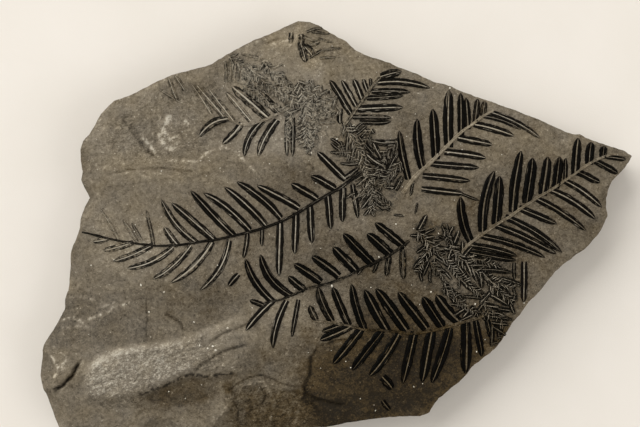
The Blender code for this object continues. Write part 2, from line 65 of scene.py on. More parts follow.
# The rim, in squares across and down, clockwise from the top
OUTLINE = [
    (298, 20), (310, 22), (320, 26), (330, 32), (344, 40), (357, 51), (368, 56), (380, 60), (390, 63),
    (398, 67), (410, 71), (431, 80), (440, 83), (451, 86), (461, 91), (480, 98), (500, 105), (520, 112),
    (540, 120), (560, 129), (573, 134), (580, 134), (586, 138), (600, 143), (616, 148), (625, 151),
    (632, 156), (629, 162), (625, 168), (619, 174), (612, 181), (609, 189), (607, 198), (607, 208),
    (608, 216), (605, 224), (600, 233), (592, 242), (585, 249), (575, 256), (564, 264), (555, 272),
    (547, 282), (540, 291), (531, 300), (526, 306), (519, 316), (512, 323), (507, 331), (502, 340),
    (495, 349), (485, 357), (475, 365), (467, 374), (460, 382), (452, 388), (445, 394), (439, 399),
    (433, 408), (430, 413), (420, 417), (400, 417), (380, 419), (357, 422), (330, 427), (300, 430),
    (262, 432), (225, 437), (190, 438), (150, 443), (112, 444), (85, 447), (70, 443), (58, 427),
    (54, 418), (50, 408), (46, 394), (41, 384), (39, 376), (41, 359), (44, 344), (51, 333), (59, 319),
    (65, 308), (65, 300), (68, 290), (69, 273), (70, 254), (74, 243), (80, 228), (80, 220), (84, 207),
    (89, 198), (86, 191), (81, 180), (82, 171), (80, 160), (80, 150), (83, 141), (90, 132), (100, 114),
    (114, 101), (131, 94), (151, 84), (171, 75), (192, 69), (212, 64), (226, 55), (243, 45), (263, 36),
    (282, 27),
]

# Stems, in squares across and down.
# Leaves: across and down at the stem, across and down at the tip, bow to the right, width.
LONG_STEM = [
    (362, 171), (347, 183), (337, 190), (327, 195), (307, 207), (296, 214), (280, 222), (261, 229),
    (241, 234), (220, 239), (199, 242), (180, 245), (156, 246), (139, 244), (120, 241), (106, 238),
    (91, 234), (81, 232),
]
LONG_UP = [
    (346, 177, 359, 168, 0, 5), (344, 178, 317, 152, 0, 8), (333, 188, 311, 176, 0.5, 8),
    (315, 198, 291, 184, 0.5, 8), (297, 207, 257, 186, 1, 8), (279, 217, 237, 182, 3, 8),
    (264, 224, 225, 187, 1.5, 8), (248, 229, 204, 193, 2.5, 8), (232, 234, 191, 191, -1, 8),
    (213, 239, 172, 203, 0, 8), (195, 241, 161, 200, -4, 7), (177, 244, 164, 227, -1, 7),
    (153, 243, 146, 210, 0.5, 4), (141, 239, 132, 223, 0, 3), (136, 240, 123, 220, 0, 4),
    (117, 237, 101, 209, 0, 4),
]
LONG_DOWN = [
    (353, 187, 358, 218, 0, 6), (343, 190, 342, 222, 0, 7.5), (328, 197, 331, 229, 0, 7.5),
    (310, 207, 312, 243, 0, 7.5), (296, 215, 295, 254, 0, 7.5), (280, 224, 279, 276, 0, 7.5),
    (262, 231, 262, 246, 0, 4), (247, 236, 243, 258, -1, 5), (228, 242, 200, 290, -6.4, 7),
    (211, 243, 171, 283, -4.2, 7.5), (189, 247, 153, 279, -3.5, 7.5), (171, 248, 127, 268, -4.5, 7),
    (150, 246, 113, 261, -1.6, 6.5), (131, 243, 103, 250, -1, 6), (106, 239, 93, 242, -0.5, 5),
]
MIDDLE_STEM = [
    (410, 240), (396, 251), (386, 257), (374, 263), (360, 269), (350, 275), (330, 283), (305, 289),
    (295, 294), (280, 300), (272, 301), (261, 305),
]
MIDDLE_UP = [
    (403, 246, 375, 223, 0.5, 8), (390, 254, 367, 234, 0.5, 9), (372, 263, 343, 234, 0, 9),
    (355, 270, 333, 247, 0, 9), (337, 275, 312, 256, 0.5, 8), (319, 281, 294, 264, 0.5, 8),
    (303, 289, 288, 277, 0, 7), (290, 294, 260, 255, -6, 8), (272, 300, 245, 259, -4, 7),
    (262, 305, 250, 300, 0, 5),
]
MIDDLE_DOWN = [
    (403, 252, 403, 279, 0, 7), (389, 259, 386, 276, 0, 6), (377, 264, 373, 273, 0, 4),
    (362, 269, 357, 275, 0, 3), (298, 302, 292, 337, 0, 5), (286, 303, 273, 348, 3, 7),
    (272, 302, 246, 330, 1, 7),
]
LOWER_STEM = [
    (486, 315), (472, 320), (460, 323), (450, 326), (441, 329), (430, 331), (420, 333), (410, 334),
    (401, 332), (390, 331), (380, 330), (365, 330), (350, 326), (340, 324), (327, 322), (311, 321),
]
LOWER_UP = [
    (457, 320, 436, 295, -1.5, 9), (441, 325, 423, 297, -0.5, 9), (425, 327, 398, 292, 0, 9),
    (405, 329, 376, 289, 0, 9.5), (386, 329, 365, 290, -1, 9), (364, 328, 351, 284, -1.5, 7),
    (348, 323, 333, 287, -1, 7), (331, 319, 318, 287, -2, 7.5), (315, 318, 309, 306, 0, 6),
]
LOWER_DOWN = [
    (487, 320, 491, 338, 0, 5), (476, 323, 482, 357, 0, 6), (466, 324, 466, 374, 0, 9.5),
    (449, 330, 432, 383, -1, 8.5), (431, 333, 422, 382, 0, 9), (414, 334, 403, 384, 0, 8),
    (397, 336, 369, 376, -2, 8), (380, 334, 352, 370, 0, 8), (360, 331, 333, 364, 0, 8),
    (349, 327, 320, 340, -0.5, 7), (340, 325, 322, 332, 0, 5),
]
UPPER_STEM = [
    (381, 77), (376, 82), (371, 88), (366, 96), (362, 101), (357, 108), (352, 115), (346, 123),
    (343, 127),
]
UPPER_UP = [
    (380, 83, 430, 87.5, -3, 7), (374, 91.5, 410, 92, -0.5, 6), (369, 98, 403, 96, 0, 6),
    (360, 109, 403, 107, 0, 8), (355, 117, 391, 117.5, 0, 5.5), (362, 122, 391, 121.5, 1, 5),
]
UPPER_DOWN = [
    (350, 112, 330, 80, 0, 7), (355, 104, 342, 80, 0, 6), (361, 97, 354, 79, 0, 6.5),
    (367, 90, 363, 79, 0, 5), (371, 85, 370, 78, 0, 3.5), (383, 76, 401, 71, 0, 8),
    (340, 111, 340, 124, 0, 6),
]
UPPER_RIGHT_STEM = [
    (495, 110), (488, 113), (480, 118), (473, 124), (465, 129), (457, 136), (450, 143), (443, 150),
    (436, 157), (429, 164), (422, 170), (414, 178), (407, 187), (402, 194),
]
UPPER_RIGHT_UP = [
    (408, 177, 399, 131, -1, 7), (423, 168, 417, 119, -2, 8.5), (436, 157, 433, 109, 0, 9),
    (449, 145, 449, 90, -1, 9.5), (461, 133, 461, 93, 0, 7), (468, 127, 466, 98, 0, 6),
    (475, 121, 478, 99, 0, 6), (483, 114, 485, 101, 0, 6),
]
UPPER_RIGHT_DOWN = [
    (492, 113, 540, 138, -2.5, 6), (486, 117, 521, 129, -2, 5), (476, 125, 514, 135.5, -1, 7.5),
    (460, 138, 492, 145, 0, 7.5), (447, 152, 486, 158, -0.5, 7.5), (433, 164, 479, 168, 0, 7),
    (425, 176, 470, 180.5, 0, 7), (424, 189, 464, 193.5, 0.5, 7), (462, 194, 478, 200, 0, 3),
]
FAR_RIGHT_STEM = [
    (628, 155), (612, 154), (600, 158), (590, 163), (580, 170), (572, 176), (565, 180), (557, 186),
    (549, 191), (540, 196), (531, 202), (520, 209), (510, 217), (500, 222), (490, 229), (480, 236),
    (470, 243), (463, 250), (460, 256),
]
FAR_RIGHT_UP = [
    (471, 241, 461, 197, -3.5, 8.5), (483, 230, 494, 171, -3.5, 9), (496, 222, 500, 176, 0, 9),
    (513, 210, 521, 151, -1.5, 9), (527, 201, 533, 158, 0, 9.5), (543, 193, 548, 157, 0, 9),
    (556, 186, 560, 157, 0, 8.5), (565, 179, 566, 158, 0, 4), (575, 173, 578, 138, 0, 8),
    (589, 162, 591, 142, 0, 8), (603, 156, 604, 146, 0, 7),
]
FAR_RIGHT_DOWN = [
    (608, 157, 626, 159, 0, 5), (597, 162, 618, 173, 0, 7), (578, 172, 600, 182.5, 0, 7),
    (566, 182, 602, 207, -2, 7), (551, 191, 596, 219, -3, 7.5), (538, 200, 586, 231, -2.5, 7),
    (521, 209, 557, 223.5, 0, 7.5), (507, 218, 562, 252, -2.8, 7.5), (497, 226, 556, 254, -2, 7.5),
    (484, 237, 545, 257, -2.3, 7), (474, 246, 517, 255.5, -1, 7), (470, 252, 516, 260, 0.5, 6.5),
]
UPPER_LEFT_STEM = [
    (290, 107), (281, 112), (272, 117), (262, 121), (250, 125), (240, 125), (232, 121), (227, 118),
]
UPPER_LEFT_UP = [
    (278, 112, 250, 84, 0, 8), (266, 116, 232, 86, 0, 10), (249, 119, 226, 92, 0, 6),
    (232, 119, 208, 88, 0, 6), (223, 116, 196, 84, 0, 6), (210, 112, 192, 84, 0, 5),
    (183, 88, 175, 75, 0, 5), (176, 98, 168, 78, 0, 5), (178, 101, 157, 88, 0, 3),
]
UPPER_LEFT_DOWN = [
    (293, 120, 293, 156, 0, 5), (287, 121, 287, 156, 0, 5), (276, 122, 258, 156, 2, 8.5),
    (262, 123, 244, 156, 4, 7), (240, 125, 223, 144, -1, 7), (226, 120, 199, 136, 4, 8),
]
LOOSE = [
    (237, 276, 228, 286, 0, 6), (524, 264, 524, 303, 0, 7), (514, 265, 514, 280, 0, 4),
    (384, 379, 393, 389, 0, 9), (417, 205, 415, 214, 0, 2), (396, 215, 404, 216, 0, 2.5),
]
CROWN = [
    (303, 83, 312, 90, 0, 3.5), (303, 88, 318, 98, 0, 4), (303, 98, 311, 102, 0, 3.5),
    (304, 105, 318, 105, 0, 4), (306, 110, 320, 109, 0, 3.5), (306, 115, 315, 117, 0, 4),
    (316, 116, 328, 118, 0, 4), (317, 123, 336, 122, 0, 3.5), (297, 110, 284, 116, 0, 4),
    (303, 115, 297, 123, 0, 4.5), (304, 122, 296, 129, 0, 4), (304, 128, 296, 134, 0, 3.5),
    (304, 134, 295, 140, 0, 4), (306, 139, 298, 145, 0, 3.5), (324, 108, 324, 93, 0, 6),
    (333, 109, 333, 119, 0, 3.5), (336, 98, 335, 107, 0, 3), (309, 127, 313, 140, 0, 4),
    (307, 143, 310, 156, 0, 4), (293, 98, 293, 88, 0, 4), (282, 108, 292, 103, 0, 4),
    (297, 96, 286, 88, 0, 5), (296, 90, 277, 84, 0, 5), (299, 104, 280, 96, 0, 4.5),
    (300, 90, 298, 81, 0, 3.5), (286, 85, 273, 90, 0, 5), (312, 128, 321, 131, 0, 3),
    (226, 80, 226, 61, 0, 3), (230, 80, 230, 59, 0, 3), (234, 80, 235, 58, 0, 3.5),
    (238, 79, 239, 60, 0, 3), (243, 78, 242, 62, 0, 3), (256, 74, 243, 59, 0, 3.5),
    (252, 80, 246, 66, 0, 3), (256, 57, 241, 54, 0, 3), (264, 92, 252, 80, 0, 4),
]
CENTRE = [
    (352, 134, 350, 122, 0, 3.5), (356, 146, 352, 134, 0, 3.5), (362, 154, 356, 144, 0, 4),
    (371, 151, 358, 136, 0, 6), (360, 130, 353, 130, 0, 3), (353, 131, 364, 122, 0, 3.5),
    (358, 133, 367, 126, 0, 3.5), (362, 136, 369, 129, 0, 3.5), (366, 140, 369, 134, 0, 3),
    (345, 130, 343, 122, 0, 4), (347, 149, 347, 135, 0, 4), (339, 144, 331, 138, 0, 4),
    (338, 149, 331, 143, 0, 4), (346, 153, 330, 152, 0, 4), (344, 150, 340, 141, 0, 4),
    (360, 162, 340, 163, -2, 3.5), (352, 158, 354, 146, 0, 4), (396, 141, 371, 140, -2.5, 6.5),
    (384, 166, 366, 154, -1, 8), (380, 156, 372, 141, 0, 6), (385, 166, 383, 150, 0, 6),
    (389, 169, 397, 153, 0, 6), (391, 160, 393, 147, 0, 4), (391, 179, 400, 165, 0, 6),
    (396, 188, 403, 176, 0, 6), (386, 177, 368, 174, 0, 7), (386, 171, 372, 168, 0, 4),
    (396, 188, 384, 187, 0, 4), (366, 168, 366, 156, 0, 5), (378, 165, 371, 162, 0, 4),
    (365, 172, 361, 160, 0, 4), (368, 185, 357, 198, 0, 5), (364, 180, 356, 186, 0, 4),
    (362, 176, 354, 181, 0, 4), (353, 194, 346, 198, 0, 4), (372, 195, 361, 209, 0, 5),
    (374, 203, 364, 216, 0, 4), (370, 190, 359, 203, 0, 4), (371, 188, 383, 195, 0, 4),
    (374, 197, 390, 211, 0, 4.5), (375, 203, 384, 210, 0, 3.5), (374, 206, 374, 217, 0, 3.5),
    (370, 181, 377, 187, 0, 3.5), (413, 183, 410, 196, 0, 3),
]
RIGHT = [
    (419, 229, 427, 215, 0, 6), (422, 235, 435, 228, 0, 4), (421, 236, 410, 235, 0, 4),
    (431, 241, 442, 240, 0, 4), (427, 245, 416, 253, 0, 5), (434, 247, 447, 249, 0, 5),
    (447, 249, 460, 252, 0, 5), (425, 254, 413, 269, 0, 5), (431, 254, 425, 263, 0, 4),
    (436, 254, 452, 266, 0, 4), (438, 259, 457, 272, 0, 4), (441, 268, 452, 280, 0, 4),
    (434, 262, 432, 272, 0, 4), (437, 268, 437, 277, 0, 4), (428, 264, 423, 276, 0, 4),
    (420, 272, 422, 282, 0, 3.5), (430, 273, 430, 283, 0, 3.5), (446, 237, 442, 225, 0, 4),
    (447, 236, 447, 224, 0, 4), (448, 237, 453, 226, 0, 4), (448, 239, 438, 236, 0, 3.5),
    (453, 246, 459, 230, 0, 6), (453, 246, 449, 233, 0, 5), (462, 252, 463, 241, 0, 5),
    (458, 252, 447, 258, 0, 5), (464, 256, 472, 247, 0, 5), (463, 262, 454, 258, 0, 4),
    (468, 260, 489, 259, 0, 6), (474, 265, 493, 266, 0, 6), (483, 270, 511, 273, -1.5, 6),
    (492, 278, 521, 286, 0, 5), (504, 279, 521, 284, 0, 5), (466, 262, 471, 273, 0, 6),
    (472, 268, 477, 281, 0, 5), (480, 273, 482, 288, 0, 6), (484, 274, 496, 287, 0, 7),
    (495, 284, 511, 298, 0, 7), (461, 270, 471, 284, 0, 6), (462, 281, 473, 291, 0, 5),
    (470, 284, 458, 278, 0, 4), (447, 290, 444, 282, 0, 5), (452, 296, 441, 289, 0, 5),
    (452, 290, 456, 299, 0, 4), (464, 306, 449, 304, 0, 4), (463, 300, 456, 293, 0, 4),
    (480, 298, 463, 296, 0, 4), (464, 309, 453, 316, 0, 5), (472, 308, 462, 318, 0, 5),
    (482, 305, 474, 317, 0, 5), (482, 301, 491, 291, 0, 5), (484, 305, 500, 308, 0, 6),
    (493, 296, 509, 305, 0, 6), (500, 309, 511, 311, 0, 5), (489, 316, 512, 319, 0, 5),
    (494, 323, 508, 325, 0, 4.5), (495, 328, 506, 335, 0, 5), (492, 329, 492, 347, 0, 5),
    (498, 331, 500, 341, 0, 4), (513, 300, 516, 293, 0, 5), (511, 306, 514, 314, 0, 5),
    (484, 318, 478, 308, 0, 4), (470, 316, 459, 321, 0, 4), (455, 302, 449, 296, 0, 4),
]
TOP = [
    (301, 44, 306, 62, 0, 8), (291, 34, 291, 43, 0, 5), (301, 36, 302, 44, 0, 6),
    (305, 47, 313, 56, 0, 9), (312, 57, 342, 48, -3, 3.5), (309, 31, 322, 27, 0, 3),
    (312, 44, 320, 42, 0, 5), (322, 58, 336, 57, 0, 3), (314, 32, 330, 33, 0, 3),
    (320, 39, 334, 42, 0, 3), (304, 37, 314, 41, 0, 3.5), (275, 67, 283, 64, 0, 3),
]

# Raised and sunk areas of the face, in squares across and down
MOUND = [
    (84, 372), (96, 360), (112, 352), (135, 345), (160, 343), (190, 335), (215, 325), (238, 314),
    (256, 318), (262, 340), (250, 366), (232, 371), (205, 375), (190, 373), (165, 385), (135, 397),
    (110, 402), (82, 402),
]
MOUND_RISE = 0.0020
MOUND_FADE = 0.0102
MOUND_LEFT = 82.0
# The way the mound's folds run, across and down
FOLD_WAY = (0.94, 0.34)
FLAKE = [(44, 352), (56, 347), (68, 352), (78, 361), (72, 374), (62, 386), (52, 389), (45, 380)]
FLAKE_RISE = 0.0010
LOWER_PLANE = [
    (321, 343), (313, 351), (309, 360), (309, 372), (305, 383), (290, 390), (272, 385), (256, 370),
    (238, 374), (228, 388), (236, 402), (216, 420), (212, 470), (470, 470), (540, 330), (330, 330),
]
PLANE_TOP = 336
PLANE_SLOPE = 0.055
RECESS = [(140, 397), (165, 387), (190, 376), (205, 378), (236, 374), (230, 392), (206, 404), (160, 408)]
RECESS_DROP = 0.0012

# Facets broken off the rim: squares across and down, half length along the rim, depth, both in metres
CHIPS = [
    (281, 28, 0.0120, 0.0040), (240, 47, 0.0080, 0.0016), (196, 68, 0.0100, 0.0018),
    (141, 89, 0.0120, 0.0024), (95, 123, 0.0090, 0.0022), (81, 165, 0.0080, 0.0016),
    (86, 203, 0.0070, 0.0020), (70, 268, 0.0130, 0.0022), (58, 322, 0.0080, 0.0020),
    (40, 368, 0.0090, 0.0030), (52, 410, 0.0100, 0.0026), (98, 446, 0.0110, 0.0030),
    (170, 441, 0.0140, 0.0034), (240, 434, 0.0120, 0.0044), (310, 429, 0.0100, 0.0030),
    (378, 419, 0.0120, 0.0030), (434, 407, 0.0070, 0.0024), (478, 362, 0.0090, 0.0016),
    (596, 238, 0.0120, 0.0018), (608, 200, 0.0070, 0.0014), (560, 129, 0.0090, 0.0014),
    (430, 79, 0.0080, 0.0014), (334, 35, 0.0090, 0.0020),
]




def metres(across: np.ndarray, down: np.ndarray) -> tuple:
    """Gives x and y of places on the squares.

    Args:
        across: squares from the drawing's left edge.
        down: squares from the drawing's top edge.

    Returns:
        The two distances from the plate's middle, in metres.
    """
    return (across - DRAWING_MIDDLE[0]) * SQUARE, (DRAWING_MIDDLE[1] - down) * SQUARE


def place(across: float, down: float, height: float = 0.0) -> Vector:
    """Gives the point of the plate at these squares.

    Args:
        across: squares from the drawing's left edge.
        down: squares from the drawing's top edge.
        height: metres above the back.

    Returns:
        The point in metres.
    """
    return Vector((*metres(across, down), height))


def smooth(value: np.ndarray, low: float, high: float) -> np.ndarray:
    """Rises softly from 0 at low to 1 at high.

    Args:
        value: numbers to ease.
        low: where the rise starts.
        high: where the rise ends.

    Returns:
        The eased numbers.
    """
    share = np.clip((value - low) / (high - low), 0.0, 1.0)
    return share * share * (3.0 - 2.0 * share)


def eased_ends(share: np.ndarray, reach: float) -> np.ndarray:
    """Fades a line out softly at both of its ends.

    Args:
        share: places along the line, 0 to 1.
        reach: the share of the line over which each end fades.

    Returns:
        1 along the line, down to 0 at its ends.
    """
    return smooth(share, 0.0, reach) * (1.0 - smooth(share, 1.0 - reach, 1.0))


def runs(way: np.ndarray) -> np.ndarray:
    """Gives the length of a line of corners up to each corner."""
    return np.concatenate([[0.0], np.cumsum(np.hypot(*np.diff(way, axis=0).T))])


def along_way(way: np.ndarray, run: np.ndarray) -> np.ndarray:
    """Gives the places at these lengths along a line of corners.

    Args:
        way: the line's corners, in squares.
        run: lengths from its start, in squares.

    Returns:
        The squares across and the squares down.
    """
    return np.array([np.interp(run, runs(way), way[:, axis]) for axis in (0, 1)])


@dataclass(frozen=True)
class Grain:
    """Smooth, repeatable unevenness over the face, from slopes drawn at whole steps."""

    seed: int

    def layer(self, across: np.ndarray, down: np.ndarray, step: int) -> np.ndarray:
        """Gives one layer of unevenness, about -1 to 1.

        Args:
            across: places across, in steps.
            down: places down, in steps.
            step: number of the layer, for another pattern.

        Returns:
            The unevenness at each place.
        """
        rng = np.random.default_rng(self.seed * 101 + step)
        turns = rng.uniform(0.0, 2.0 * math.pi, (GRAIN_STEPS, GRAIN_STEPS))
        left = np.floor(across).astype(int)
        top = np.floor(down).astype(int)
        over = across - left
        under = down - top
        ease_over, ease_under = (part * part * part * (part * (part * 6 - 15) + 10) for part in (over, under))
        corners = []
        for dx, dy in ((0, 0), (1, 0), (0, 1), (1, 1)):
            turn = turns[(top + dy) % GRAIN_STEPS, (left + dx) % GRAIN_STEPS]
            corners.append(np.cos(turn) * (over - dx) + np.sin(turn) * (under - dy))
        upper = corners[0] + ease_over * (corners[1] - corners[0])
        lower = corners[2] + ease_over * (corners[3] - corners[2])
        return 1.5 * (upper + ease_under * (lower - upper))

    def field(self, across: np.ndarray, down: np.ndarray, size: float, layers: int = 3) -> np.ndarray:
        """Adds up finer and finer layers of unevenness.

        Args:
            across: squares across.
            down: squares down.
            size: squares from one bump to the next in the coarsest layer.
            layers: how many layers.

        Returns:
            The unevenness at each place, about -1 to 1.
        """
        total = np.zeros_like(across, dtype=float)
        weight = 1.0
        whole = 0.0
        for step in range(layers):
            total += weight * self.layer(across / size + 31.7 * step, down / size + 17.3 * step, step)
            whole += weight
            weight *= 0.5
            size *= 0.5
        return total / whole


def way_distance(across: np.ndarray, down: np.ndarray, way: list, closed: bool = False) -> tuple:
    """Measures how far each place is from a line of corners.

    Args:
        across: squares across.
        down: squares down.
        way: the line's corners, in squares.
        closed: whether the last corner joins the first.

    Returns:
        The distances, and the share of the line's length at which each nearest point lies.
    """
    corners = list(way) + ([way[0]] if closed else [])
    lengths = [math.dist(a, b) for a, b in zip(corners, corners[1:])]
    best = np.full(across.shape, np.inf)
    share = np.zeros(across.shape)
    run = 0.0
    for (x0, y0), (x1, y1), length in zip(corners, corners[1:], lengths):
        along = ((across - x0) * (x1 - x0) + (down - y0) * (y1 - y0)) / max(length * length, 1e-9)
        along = np.clip(along, 0.0, 1.0)
        gap = np.hypot(across - x0 - along * (x1 - x0), down - y0 - along * (y1 - y0))
        nearer = gap < best
        best = np.where(nearer, gap, best)
        share = np.where(nearer, (run + along * length) / sum(lengths), share)
        run += length
    return best, share


def inside(across: np.ndarray, down: np.ndarray, rim: list) -> np.ndarray:
    """Tells which places lie inside a closed line of corners.

    Args:
        across: squares across.
        down: squares down.
        rim: the line's corners, in squares.

    Returns:
        True where the place is inside.
    """
    found = np.zeros(across.shape, dtype=bool)
    for (x0, y0), (x1, y1) in zip(rim, rim[1:] + rim[:1]):
        if y0 == y1:
            continue
        crosses = (down >= min(y0, y1)) & (down < max(y0, y1))
        found ^= crosses & (across < x0 + (down - y0) * (x1 - x0) / (y1 - y0))
    return found


def depth_inside(across: np.ndarray, down: np.ndarray, rim: list) -> np.ndarray:
    """Gives squares inward from a closed line, negative outside it.

    Args:
        across: squares across.
        down: squares down.
        rim: the line's corners, in squares.

    Returns:
        The signed distance at each place.
    """
    gap, _ = way_distance(across, down, rim, closed=True)
    return np.where(inside(across, down, rim), gap, -gap)


def patch(across: np.ndarray, down: np.ndarray, rim: list, reach: tuple,
     ragged: np.ndarray = 0.0) -> np.ndarray:
    """Rises softly from 0 outside a closed line to 1 inside it.

    Args:
        across: squares across.
        down: squares down.
        rim: the line's corners, in squares.
        reach: squares inward at which the rise starts and ends.
        ragged: squares by which the line wanders at each place.

    Returns:
        The share at each place.
    """
    return smooth(depth_inside(across, down, rim) + ragged, *reach)


@dataclass(frozen=True)
class Crack:
    """A crack in the face: its corners and half width in squares, and its depth in metres."""

    way: list
    reach: float
    depth: float


@dataclass(frozen=True)
class Step:
    """A broken bedding plane: the face drops to the right of the way, and comes back over the fade."""

    way: list
    drop: float
    fade: float


@dataclass(frozen=True)
class Zone:
    """A patch of other colour, some of them painted light or shade: its rim and softness in squares, and what
    it adds to shade and warmth.
    """

    rim: list
    soft: float
    shade: float
    warmth: float = 0.0


@dataclass(frozen=True)
class Streak:
    """A pale crusty line on the face, or a dark line of painted shadow below an edge or of painted shade in a
    crack: its corners and half width in squares, and what it adds to shade.
    """

    way: list
    reach: float
    shade: float


CRACKS = [Crack(*row) for row in (
    ([(146, 294), (147, 318), (146, 330), (147, 342)], 0.8, 0.0002),
    ([(163, 312), (174, 319), (181, 323), (184, 333)], 1.5, 0.0006),
    ([(80, 361), (72, 375), (62, 386), (52, 390)], 2.0, 0.0010),
    ([(120, 115), (132, 132), (145, 150), (160, 160)], 1.2, 0.0003),
    ([(303, 384), (306, 395), (318, 400), (330, 403), (348, 406)], 2.0, 0.0011),
    ([(300, 398), (312, 404), (322, 415)], 1.4, 0.0005),
    ([(224, 394), (236, 385), (250, 377), (264, 375), (280, 383), (300, 388)], 1.0, 0.0004),
    ([(232, 400), (238, 410), (236, 424)], 0.9, 0.0003),
    ([(260, 386), (265, 396), (262, 406)], 0.9, 0.0004),
    ([(104, 176), (128, 170), (160, 168), (200, 172)], 1.0, 0.0002),
    ([(262, 44), (280, 38), (297, 38)], 1.2, 0.0004),
    ([(192, 374), (203, 364), (216, 355), (230, 349), (252, 343)], 1.8, 0.0006),
    ([(206, 345), (222, 334), (240, 327), (252, 322)], 1.4, 0.0004),
    ([(303, 386), (310, 374), (311, 358), (318, 347), (336, 340), (356, 340)], 1.3, 0.0005),
)]
STEPS = [Step(*row) for row in (
    ([(150, 150), (190, 156), (225, 160), (262, 166)], 0.0004, 30.0),
    ([(262, 43), (280, 33), (297, 37), (312, 32)], 0.0007, 40.0),
    ([(92, 190), (130, 176), (180, 178), (230, 168)], 0.0003, 26.0),
    ([(225, 388), (236, 402), (232, 420), (240, 436)], 0.0009, 22.0),
    ([(268, 392), (276, 404), (270, 420), (278, 434)], 0.0007, 18.0),
)]
STREAKS = [Streak(*row) for row in (
    # Dark: painted shade in the crack beside it
    ([(130, 123), (142, 142), (158, 160), (167, 160)], 1.6, -0.22),
    # Dark: painted shadow below the flake's edge
    ([(80, 361), (74, 374), (66, 384), (56, 390)], 1.8, -0.28),
    ([(144, 140), (151, 147), (157, 156)], 1.5, 0.45),
    ([(170, 117), (165, 126), (162, 130), (170, 140), (177, 137)], 2.2, 0.40),
    ([(160, 136), (164, 146), (173, 150), (178, 144)], 2.0, 0.35),
    ([(158, 161), (166, 160), (180, 160), (195, 161), (208, 152)], 1.3, 0.26),
    ([(208, 152), (223, 147), (237, 152), (250, 167), (254, 170)], 1.3, 0.26),
    ([(100, 168), (120, 162), (140, 170), (170, 176), (182, 176)], 1.4, 0.14),
    ([(112, 176), (130, 172), (150, 178)], 1.3, 0.12),
    ([(185, 120), (190, 126), (192, 134)], 1.6, 0.30),
    ([(58, 322), (66, 318), (73, 317), (83, 322)], 1.6, 0.34),
    ([(88, 320), (104, 313), (118, 307), (128, 303)], 1.8, 0.30),
    ([(98, 308), (110, 304), (122, 301)], 1.4, 0.26),
    ([(70, 296), (82, 297), (94, 300)], 1.4, 0.22),
    ([(62, 328), (74, 326), (90, 327)], 1.4, 0.20),
    ([(52, 356), (58, 366), (54, 378)], 1.8, 0.34),
    ([(60, 352), (66, 358), (62, 368)], 1.8, 0.30),
    ([(82, 362), (76, 374), (68, 384), (60, 392)], 1.5, 0.22),
    ([(272, 44), (284, 39), (296, 38)], 1.8, 0.25),
    ([(284, 42), (300, 50), (312, 60), (326, 66)], 2.2, 0.16),
    ([(236, 50), (250, 44), (264, 38)], 2.0, 0.18),
    ([(118, 100), (136, 94), (156, 84), (180, 74)], 2.2, 0.14),
    ([(86, 140), (96, 122), (108, 108)], 2.0, 0.14),
    # Dark: painted shadow below the mound's lower edge
    ([(140, 394), (165, 385), (190, 374), (205, 377), (232, 373)], 1.8, -0.34),
    ([(88, 180), (100, 186), (96, 200)], 1.8, 0.16),
    # Dark: painted shadow at the step right of the mound
    ([(303, 386), (310, 374), (311, 358)], 1.3, -0.28),
    ([(242, 386), (256, 381), (268, 382), (282, 390)], 1.1, 0.20),
    ([(270, 392), (275, 404), (270, 420)], 1.2, 0.20),
    ([(293, 394), (299, 408), (294, 424)], 1.2, 0.18),
    ([(228, 400), (224, 412), (214, 424)], 1.3, 0.22),
    ([(312, 352), (318, 347), (326, 343)], 1.6, 0.22),
    # Dark: painted shade in the crack beside it
    ([(306, 396), (318, 400), (330, 403), (346, 406)], 1.6, -0.30),
    ([(150, 272), (166, 280), (180, 292)], 1.4, 0.16),
)]
# Broken ground, and the areas of the tangled sprigs
ROUGH_CORNER = [(226, 388), (250, 376), (290, 392), (306, 386), (316, 398), (326, 432), (236, 438)]
TANGLE = [
    (412, 222), (440, 216), (462, 228), (476, 246), (512, 262), (528, 284), (520, 306), (512, 330),
    (498, 350), (486, 340), (480, 322), (456, 320), (440, 296), (424, 284), (408, 270), (410, 244),
]
UPPER_TANGLE = [
    (345, 118), (372, 118), (378, 134), (400, 140), (402, 160), (398, 180), (404, 192), (392, 214),
    (366, 216), (346, 200), (344, 176), (334, 160), (330, 136),
]
CROWN_TANGLE = [
    (222, 54), (262, 50), (290, 78), (318, 84), (340, 96), (340, 122), (318, 158), (296, 158),
    (284, 130), (262, 100), (226, 84),
]
# Wrinkled skin, crackled skin, and places that stay smooth
WRINKLED = [
    (84, 372), (96, 360), (112, 352), (135, 345), (160, 343), (190, 335), (204, 332), (216, 346), (228, 358),
    (232, 370), (205, 375), (190, 375), (165, 385), (150, 396), (140, 412), (110, 416), (88, 402), (78, 386),
]
CRACKLED = [
    (96, 150), (104, 120), (130, 104), (165, 84), (215, 74), (232, 100), (236, 130), (215, 150), (180, 160),
         (130, 166),
]
CALM = [
    [(84, 178), (120, 169), (182, 177), (184, 208), (120, 212), (90, 202)],
    [(274, 62), (298, 58), (330, 74), (352, 94), (336, 99), (300, 80), (280, 77)],
    [(142, 290), (200, 285), (216, 308), (176, 330), (150, 342)],
]
# Shade and warmth of the plain stone, how strongly the painted shade in cracks darkens them, and how strongly
# streaks change the shade
EVEN_SHADE = 0.515
EVEN_WARMTH = 0.35
CRACK_PAINTED_SHADE = 0.24
STREAK_SHADE = 1.5
# Share of a step or crack over which each end fades
STEP_END = 0.2
CRACK_END = 0.15
# A chip's scoop as shares of its reach: depth, width outward, and how much it leans to the face
CHIP_DEPTH = 0.55
CHIP_WIDTH = 0.8
CHIP_LIFT = 0.83


